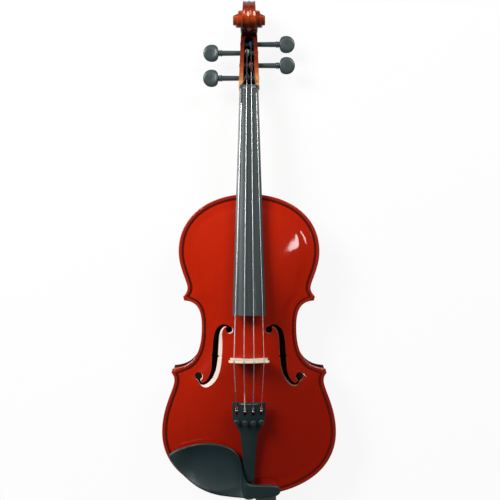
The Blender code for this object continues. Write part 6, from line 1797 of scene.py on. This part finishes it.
def make_peg(i):
    """A tapered peg with a turned collar and a dished thumb piece, along its own Z axis."""
    string = PEG_ORDER[i]
    name = STRING_NAMES[string]
    centre = peg_place(i)
    place = PLACE @ Matrix.Translation(centre) @ Matrix.Rotation(PEG_SIDES[string] * math.pi / 2, 4, "Y")
    rings = []
    for z, tall, thick, hollow in peg_sections(-pegbox_half(centre.y) - 0.0006, PEG_COLLAR_X):
        ring = []
        for angle in angles(48, 0.5):
            dish = 1 - 0.42 * hollow * math.exp(-((math.sin(angle) / 0.62) ** 2))
            ring.append((thick * dish * math.cos(angle), tall * math.sin(angle), z))
        rings.append(ring)
    dress(lofted("peg", rings, TURNED_BLACK, place), f"peg_{name}", 40.0)
    make_winding(string, centre)


def make_winding(string, centre):
    """The turns of string on a peg, and the last turn that the string leaves from."""
    radius = STRING_RADII[string]
    turns = WINDING_WIDTH / (2.06 * radius)
    path = []
    reach = winding_radius(string) - radius
    side = PEG_SIDES[string]
    count = int(turns * 20)
    for k in range(count + 1):
        angle = 2 * math.pi * k / 20
        x = side * (WINDING_OFFSET + WINDING_WIDTH * (k / count - 0.5) * 0.9)
        path.append(Vector((x, reach * math.cos(angle), reach * math.sin(angle))))
    rings = sweep(path, radius, 8)
    place = PLACE @ Matrix.Translation(centre)
    coil = lofted("winding", rings, SILKS[string], place)
    core = [circle_ring(PEG_LARGE_RADIUS + GAP, z, 32) for z in (-0.45 * WINDING_WIDTH, 0.45 * WINDING_WIDTH)]
    outer = [circle_ring(reach, z, 32) for z in (0.45 * WINDING_WIDTH, -0.45 * WINDING_WIDTH)]
    points = [point for ring in core + outer for point in ring]
    turn = place @ Matrix.Translation((side * WINDING_OFFSET, 0, 0)) @ Z_TO_X
    sleeve = add_mesh("sleeve", points, tube_faces(4, 32), [SILKS[string]], place=turn)
    top = []
    outer_reach = winding_radius(string) + radius + GAP
    for k in range(25):
        angle = 2 * math.pi * k / 24
        leave = outer_reach - smooth_step((k - 17) / 7.0) * (outer_reach - reach)
        x = winding_x(string) + side * 0.0006 * k / 24
        top.append(Vector((x, leave * math.cos(angle), leave * math.sin(angle))))
    last = lofted("last_turn", sweep(top, radius, 8), SILKS[string], place)
    join([coil, sleeve, last])
    dress(coil, f"winding_{STRING_NAMES[string]}", 50.0)


def join(items):
    """Makes several meshes one piece, with the first one's materials."""
    shape = bmesh.new()
    for item in items:
        shape.from_mesh(item.data)
    shape.to_mesh(items[0].data)
    shape.free()
    for item in items[1:]:
        bpy.data.objects.remove(item, do_unlink=True)


def make_saddle():
    """The hard block that the tailgut bears on, let into the top's lower edge."""
    crest = saddle_crest()
    crown = [
        (SADDLE_DEPTH, TOP_EDGE_Z + 0.0008),
        (SADDLE_DEPTH * 0.92, TOP_EDGE_Z + 0.0038),
        (SADDLE_DEPTH * 0.72, crest - 0.0004),
        (SADDLE_DEPTH * 0.45, crest),
        (SADDLE_DEPTH * 0.2, crest - 0.0005),
        (GAP, crest - 0.0024),
    ]
    profile = [(GAP, TOP_GLUE_Z + GAP), (SADDLE_DEPTH, TOP_GLUE_Z + GAP)]
    profile += curved(crown, 24)
    rings = []
    for share in (-1, -0.97, -0.88, -0.7, -0.3, 0.3, 0.7, 0.88, 0.97, 1):
        fall = 0.0045 * max(abs(share) - 0.66, 0) ** 1.4 / 0.34**1.4
        levels = [(y, max(min(z, crest - fall), TOP_GLUE_Z + GAP)) for y, z in profile]
        rings.append([(share * SADDLE_HALF, y, z) for y, z in levels])
    dress(lofted("saddle", rings, TAIL_BLACK), "saddle", 30.0)


def button_neck_y():
    """Middle of the groove that the tailgut lies in."""
    return -TAILGUT_RADIUS - 2 * GAP


def make_end_button():
    """The tapered button in the bottom block. Its axis points out of the tail."""
    groove = BUTTON_NECK_LENGTH / 2
    front, collar = button_neck_y() - groove, button_neck_y() + groove
    head, face, length = BUTTON_HEAD_RADIUS, BUTTON_FACE_RADIUS, BUTTON_HEAD_LENGTH
    out = front - length
    crown = [(face, -out), (face * 1.15, -out - 0.0002), (head * 0.86, -out - 0.0012)]
    crown += [(head * 0.97, -out - length * 0.3), (head, -out - length * 0.5)]
    crown += [(head * 0.97, -out - length * 0.75), (head * 0.8, -front)]
    profile = [(face * 0.3, -out)] + curved(crown, 26)
    profile += [(BUTTON_NECK_RADIUS + 0.0003, -front - 0.0001), (BUTTON_NECK_RADIUS, -front + 0.0004)]
    profile += [(BUTTON_NECK_RADIUS, -collar - 0.0004), (BUTTON_NECK_RADIUS + 0.0016, -collar)]
    profile += [(BUTTON_NECK_RADIUS + 0.0016, GAP - OVERHANG), (BUTTON_SHAFT_RADIUS, GAP - OVERHANG)]
    profile += [(BUTTON_SHAFT_RADIUS * 0.9, -0.019)]
    dress(lofted("button", turned(profile, 48), TAIL_BLACK, BUTTON_PLACE), "end_button", 30.0)


def make_tailgut():
    """A cord from under the tailpiece, over the saddle and round the end button."""
    x = TAILGUT_HALF_SPACING
    top = saddle_crest() + TAILGUT_RADIUS + GAP
    neck = (BUTTON_NECK_RADIUS + TAILGUT_RADIUS + GAP) * 1.03
    y = button_neck_y()
    right = [
        tuple(from_tailpiece((x, -0.0008, -TAILPIECE_CROWN - 0.0026))),
        (x, SADDLE_DEPTH + 0.0025, top + 0.0006),
        (x, SADDLE_DEPTH * 0.45, top),
        (x, GAP, top - 0.0009),
        (x, y + 0.0004, top - 0.0030),
        (x * 1.05, y, top - 0.0065),
        (neck, y, MID_Z + 0.4 * neck),
    ]
    turns = [-math.pi * (k + 0.5) / 7 for k in range(7)]
    loop = [(neck * math.cos(a), y, MID_Z + neck * math.sin(a)) for a in turns]
    route = smooth_line(right + loop + [(-px, py, pz) for px, py, pz in right[::-1]], 160)
    dress(lofted("tailgut", sweep(route, TAILGUT_RADIUS, 16), NYLON), "tailgut", 50.0)


def rest_section(x, low, high, bowl, thickness):
    """A section of the chin rest across the arm or the cup, with rounded rims."""
    rim = TOP_EDGE_Z + REST_RISE + REST_THICKNESS
    width = high - low
    flank = float(np.interp(x, *np.transpose(REST_FLANK)))
    shares = 0.5 - 0.5 * np.cos(np.linspace(0, math.pi, 31))
    upper, lower = [], []
    for share in shares:
        inside = min(share, 1 - share) * width
        fade = max(1 - inside / REST_RIM, 0)
        half = thickness / 2 * math.sqrt(max(1 - fade**2, 0.0))
        dip = bowl * (1 - abs(2 * share - 1) ** 2.2)
        middle = rim - thickness / 2 - 0.7 * dip
        drop = REST_FLANK_DROP * max(1 - share * width / flank, 0)
        drop *= thickness / REST_THICKNESS * min(half / (thickness / 2), 1)
        upper.append((x, low + share * width, middle + half - 0.3 * dip - drop))
        lower.append((x, low + share * width, middle - half + 0.1 * dip))
    return upper + lower[-2:0:-1]


def foot_outline(node):
    """The outline of a foot and its cork, kept under the chin rest's own edges."""
    low, high = (PLACE.inverted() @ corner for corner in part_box(node))
    rest = smooth_line(REST_OUTLINE, REST_STEPS)
    near, far = [], []
    for x in np.linspace(low.x, high.x, 9):
        edges = [float(np.interp(x, rest[:, 0], rest[:, k])) for k in (1, 2)]
        near.append((x, max(low.y, edges[0] + 0.001)))
        far.append((x, min(high.y, edges[1] - 0.004)))
    return near + far[::-1], low.z, high.z


def make_rest():
    """The chin rest's cup over the bass side, its arm over the tailpiece and its two feet."""
    stations = smooth_line(REST_OUTLINE, REST_STEPS)
    ends = len(stations) - 1
    rings = []
    for k, (x, low, high) in enumerate(stations):
        bowl = REST_BOWL * float(smooth_step((high - low - 0.02) / 0.035))
        close = min(k, ends - k)
        share = math.sqrt(max(1 - (1 - min(close, 4) / 4) ** 2, 0.05))
        middle, half = (low + high) / 2, (high - low) / 2 * share
        rings.append(rest_section(x, middle - half, middle + half, bowl, REST_THICKNESS * share))
    rest = lofted("rest", rings, COMPOSITE)
    feet = []
    bottom = TOP_EDGE_Z + REST_RISE + 0.3 * REST_THICKNESS
    for node in ("cork_upper_bass", "cork_upper_treble"):
        outline, _, start = foot_outline(node)
        rings = [[(x, y, z) for x, y in outline] for z in (start + GAP, bottom)]
        feet.append(softened(lofted("foot", rings, COMPOSITE), 0.0008, 3))
    combine(rest, feet, "UNION")
    low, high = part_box("chinrest_clamp_tab")
    low = Vector((low.x, low.y, high.z - CLAMP_PLATE))
    grow = Vector((GAP, GAP, GAP))
    combine(rest, [block("tab_slot", low - grow, high + grow, COMPOSITE, WORLD)])
    dress(rest, "chinrest_plate", 30.0)


def make_corks():
    """The cork under each foot of the chin rest and on the bracket below."""
    for node in ("cork_upper_bass", "cork_upper_treble"):
        outline, low, high = foot_outline(node)
        rings = [[(x, y, z) for x, y in outline] for z in (low, high)]
        dress(softened(lofted("cork", rings, CORK), 0.0003), node)
    low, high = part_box("cork_lower")
    dress(softened(block("cork", low, high, CORK, WORLD), 0.0003), "cork_lower")


def clamp_rods(bottom, top):
    """Both rods of one half of the clamp, with a little thread at the barrel's end."""
    rods = []
    for node in ("chinrest_barrel_1", "chinrest_barrel_2"):
        low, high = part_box(node)
        middle = (low + high) / 2
        place = Matrix.Translation((middle.x, middle.y, (bottom + top) / 2))
        rods.append(rod("clamp_rod", ROD_RADIUS, top - bottom, NICKEL, place, 32))
    return rods


def make_clamp():
    """The clamp's tab and bracket with their rods, and the two barrels that draw them together."""
    for node, plate_at_top in (("chinrest_clamp_tab", True), ("chinrest_bracket", False)):
        low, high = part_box(node)
        if plate_at_top:
            item = block("tab", (low.x, low.y, high.z - CLAMP_PLATE), high, NICKEL, WORLD)
            rods = clamp_rods(low.z, high.z - CLAMP_PLATE / 2)
        else:
            item = block("bracket", low, (high.x, high.y, low.z + CLAMP_PLATE), NICKEL, WORLD)
            rods = clamp_rods(low.z + CLAMP_PLATE / 2, high.z)
        softened(item, 0.0007, 3)
        dress(combine(item, rods, "UNION"), node, 30.0)
    for k in (1, 2):
        make_barrel(f"chinrest_barrel_{k}")


def make_barrel(node):
    """A barrel with a plain collar at each end, ridges between and a key hole through it."""
    low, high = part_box(node)
    middle, half = (low + high) / 2, (high.z - low.z) / 2
    outer, bore = (high.x - low.x) / 2, ROD_RADIUS + GAP
    rings = []
    for share, level in BARREL_PROFILE:
        ridged = share < 0.95 and abs(level) < 0.9
        ring = []
        for angle in angles(72):
            radius = outer * share * (1 + 0.02 * ridged * math.cos(24 * angle))
            ring.append((radius * math.cos(angle), radius * math.sin(angle), level * half))
        rings.append(ring)
    rings += [circle_ring(bore, level, 72, 0.0) for level in (half, -half)]
    points = [point for ring in rings for point in ring]
    place = Matrix.Translation(middle)
    barrel = add_mesh("barrel", points, tube_faces(len(rings), 72), [NICKEL], place=place)
    key = rod("key_hole", 0.0008, 4 * outer, NICKEL, place @ Z_TO_X, 16)
    dress(combine(barrel, [key]), node, 30.0)


def finish_kept_nodes():
    """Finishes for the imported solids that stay, inside the body and under the tailpiece."""
    for name, item in frame["nodes"].items():
        # Pieces inside the body take the darkened inside wood, which is painted shade.
        inside = "block" in name or name in ("bass_bar", "sound_post")
        if inside or name == "tuner_axle":
            item.data.materials.clear()
            item.data.materials.append(SHADED_INSIDE if inside else NICKEL)


def make_floor():
    """A wide pale floor just under the instrument, which keeps a soft shadow."""
    far = FLOOR_HALF
    corners = [(-far, -far, 0), (far, -far, 0), (far, far, 0), (-far, far, 0)]
    item = add_mesh("floor", corners, [[0, 1, 2, 3]], [floor_finish()])
    item.location.z = CAD_BOX[0].z - FLOOR_DROP


def floor_finish():
    """A pale surface that looks nearly white to the camera and in reflections."""
    material = bpy.data.materials.new("pale_floor")
    material.use_nodes = True
    tree = material.node_tree
    shader = tree.nodes["Principled BSDF"]
    shader.inputs["Base Color"].default_value = (0.9, 0.9, 0.9, 1)
    shader.inputs["Roughness"].default_value = 0.9
    glow = tree.nodes.new("ShaderNodeEmission")
    path = tree.nodes.new("ShaderNodeLightPath")
    seen = tree.nodes.new("ShaderNodeMath")
    seen.operation = "ADD"
    seen.use_clamp = True
    tree.links.new(path.outputs["Is Camera Ray"], seen.inputs[0])
    tree.links.new(path.outputs["Is Glossy Ray"], seen.inputs[1])
    share = tree.nodes.new("ShaderNodeMath")
    share.operation = "MULTIPLY"
    share.inputs[1].default_value = FLOOR_GLOW
    tree.links.new(seen.outputs[0], share.inputs[0])
    mix = tree.nodes.new("ShaderNodeMixShader")
    tree.links.new(share.outputs[0], mix.inputs[0])
    tree.links.new(shader.outputs[0], mix.inputs[1])
    tree.links.new(glow.outputs[0], mix.inputs[2])
    tree.links.new(mix.outputs[0], tree.nodes["Material Output"].inputs["Surface"])
    return material


def soft_light(name, place, target, size, power, turn):
    """An oval lamp aimed at a point. The turn is in degrees."""
    light = bpy.data.lights.new(name, "AREA")
    light.shape = "ELLIPSE"
    light.size, light.size_y = size
    light.energy = power
    item = bpy.data.objects.new(name, light)
    item.location = place
    aim = (Vector(target) - Vector(place)).to_track_quat("-Z", "Y")
    item.rotation_euler = (aim @ Quaternion((0, 0, 1), math.radians(turn))).to_euler()
    bpy.context.scene.collection.objects.link(item)


def make_studio():
    """Soft light from the scroll's side and the bass side, and an even pale surround."""
    for lamp in LAMPS:
        soft_light(*lamp)
    world = bpy.context.scene.world or bpy.data.worlds.new("surround")
    bpy.context.scene.world = world
    world.use_nodes = True
    tree = world.node_tree
    surround = tree.nodes["Background"]
    surround.inputs["Color"].default_value = (1, 1, 1, 1)
    seen = tree.nodes.new("ShaderNodeLightPath").outputs["Is Camera Ray"]
    strength = tree.nodes.new("ShaderNodeMapRange")
    strength.inputs["To Min"].default_value = SURROUND_LIGHT
    strength.inputs["To Max"].default_value = SURROUND_SEEN
    tree.links.new(seen, strength.inputs["Value"])
    tree.links.new(strength.outputs[0], surround.inputs["Strength"])


def make_camera():
    """A camera that looks straight down from where the photograph was taken."""
    data = bpy.data.cameras.new("camera")
    data.lens = CAMERA_LENS
    camera = bpy.data.objects.new("camera", data)
    camera.location = CAMERA_PLACE
    bpy.context.scene.collection.objects.link(camera)
    bpy.context.scene.camera = camera


def build():
    """The camera, the lamps, the floor and every piece of the instrument."""
    scene = bpy.context.scene
    scene.view_settings.view_transform = "Standard"
    make_camera()
    make_studio()
    make_floor()
    top = make_top()
    make_back()
    make_ribs()
    make_neck()
    make_fingerboard()
    make_nut()
    make_bridge(top)
    make_tailpiece()
    make_fret()
    for i in range(4):
        make_lever(i)
        make_screw_and_knob(i)
        make_string(i)
        make_peg(i)
    make_saddle()
    make_end_button()
    make_tailgut()
    make_rest()
    make_corks()
    make_clamp()
    finish_kept_nodes()


build()
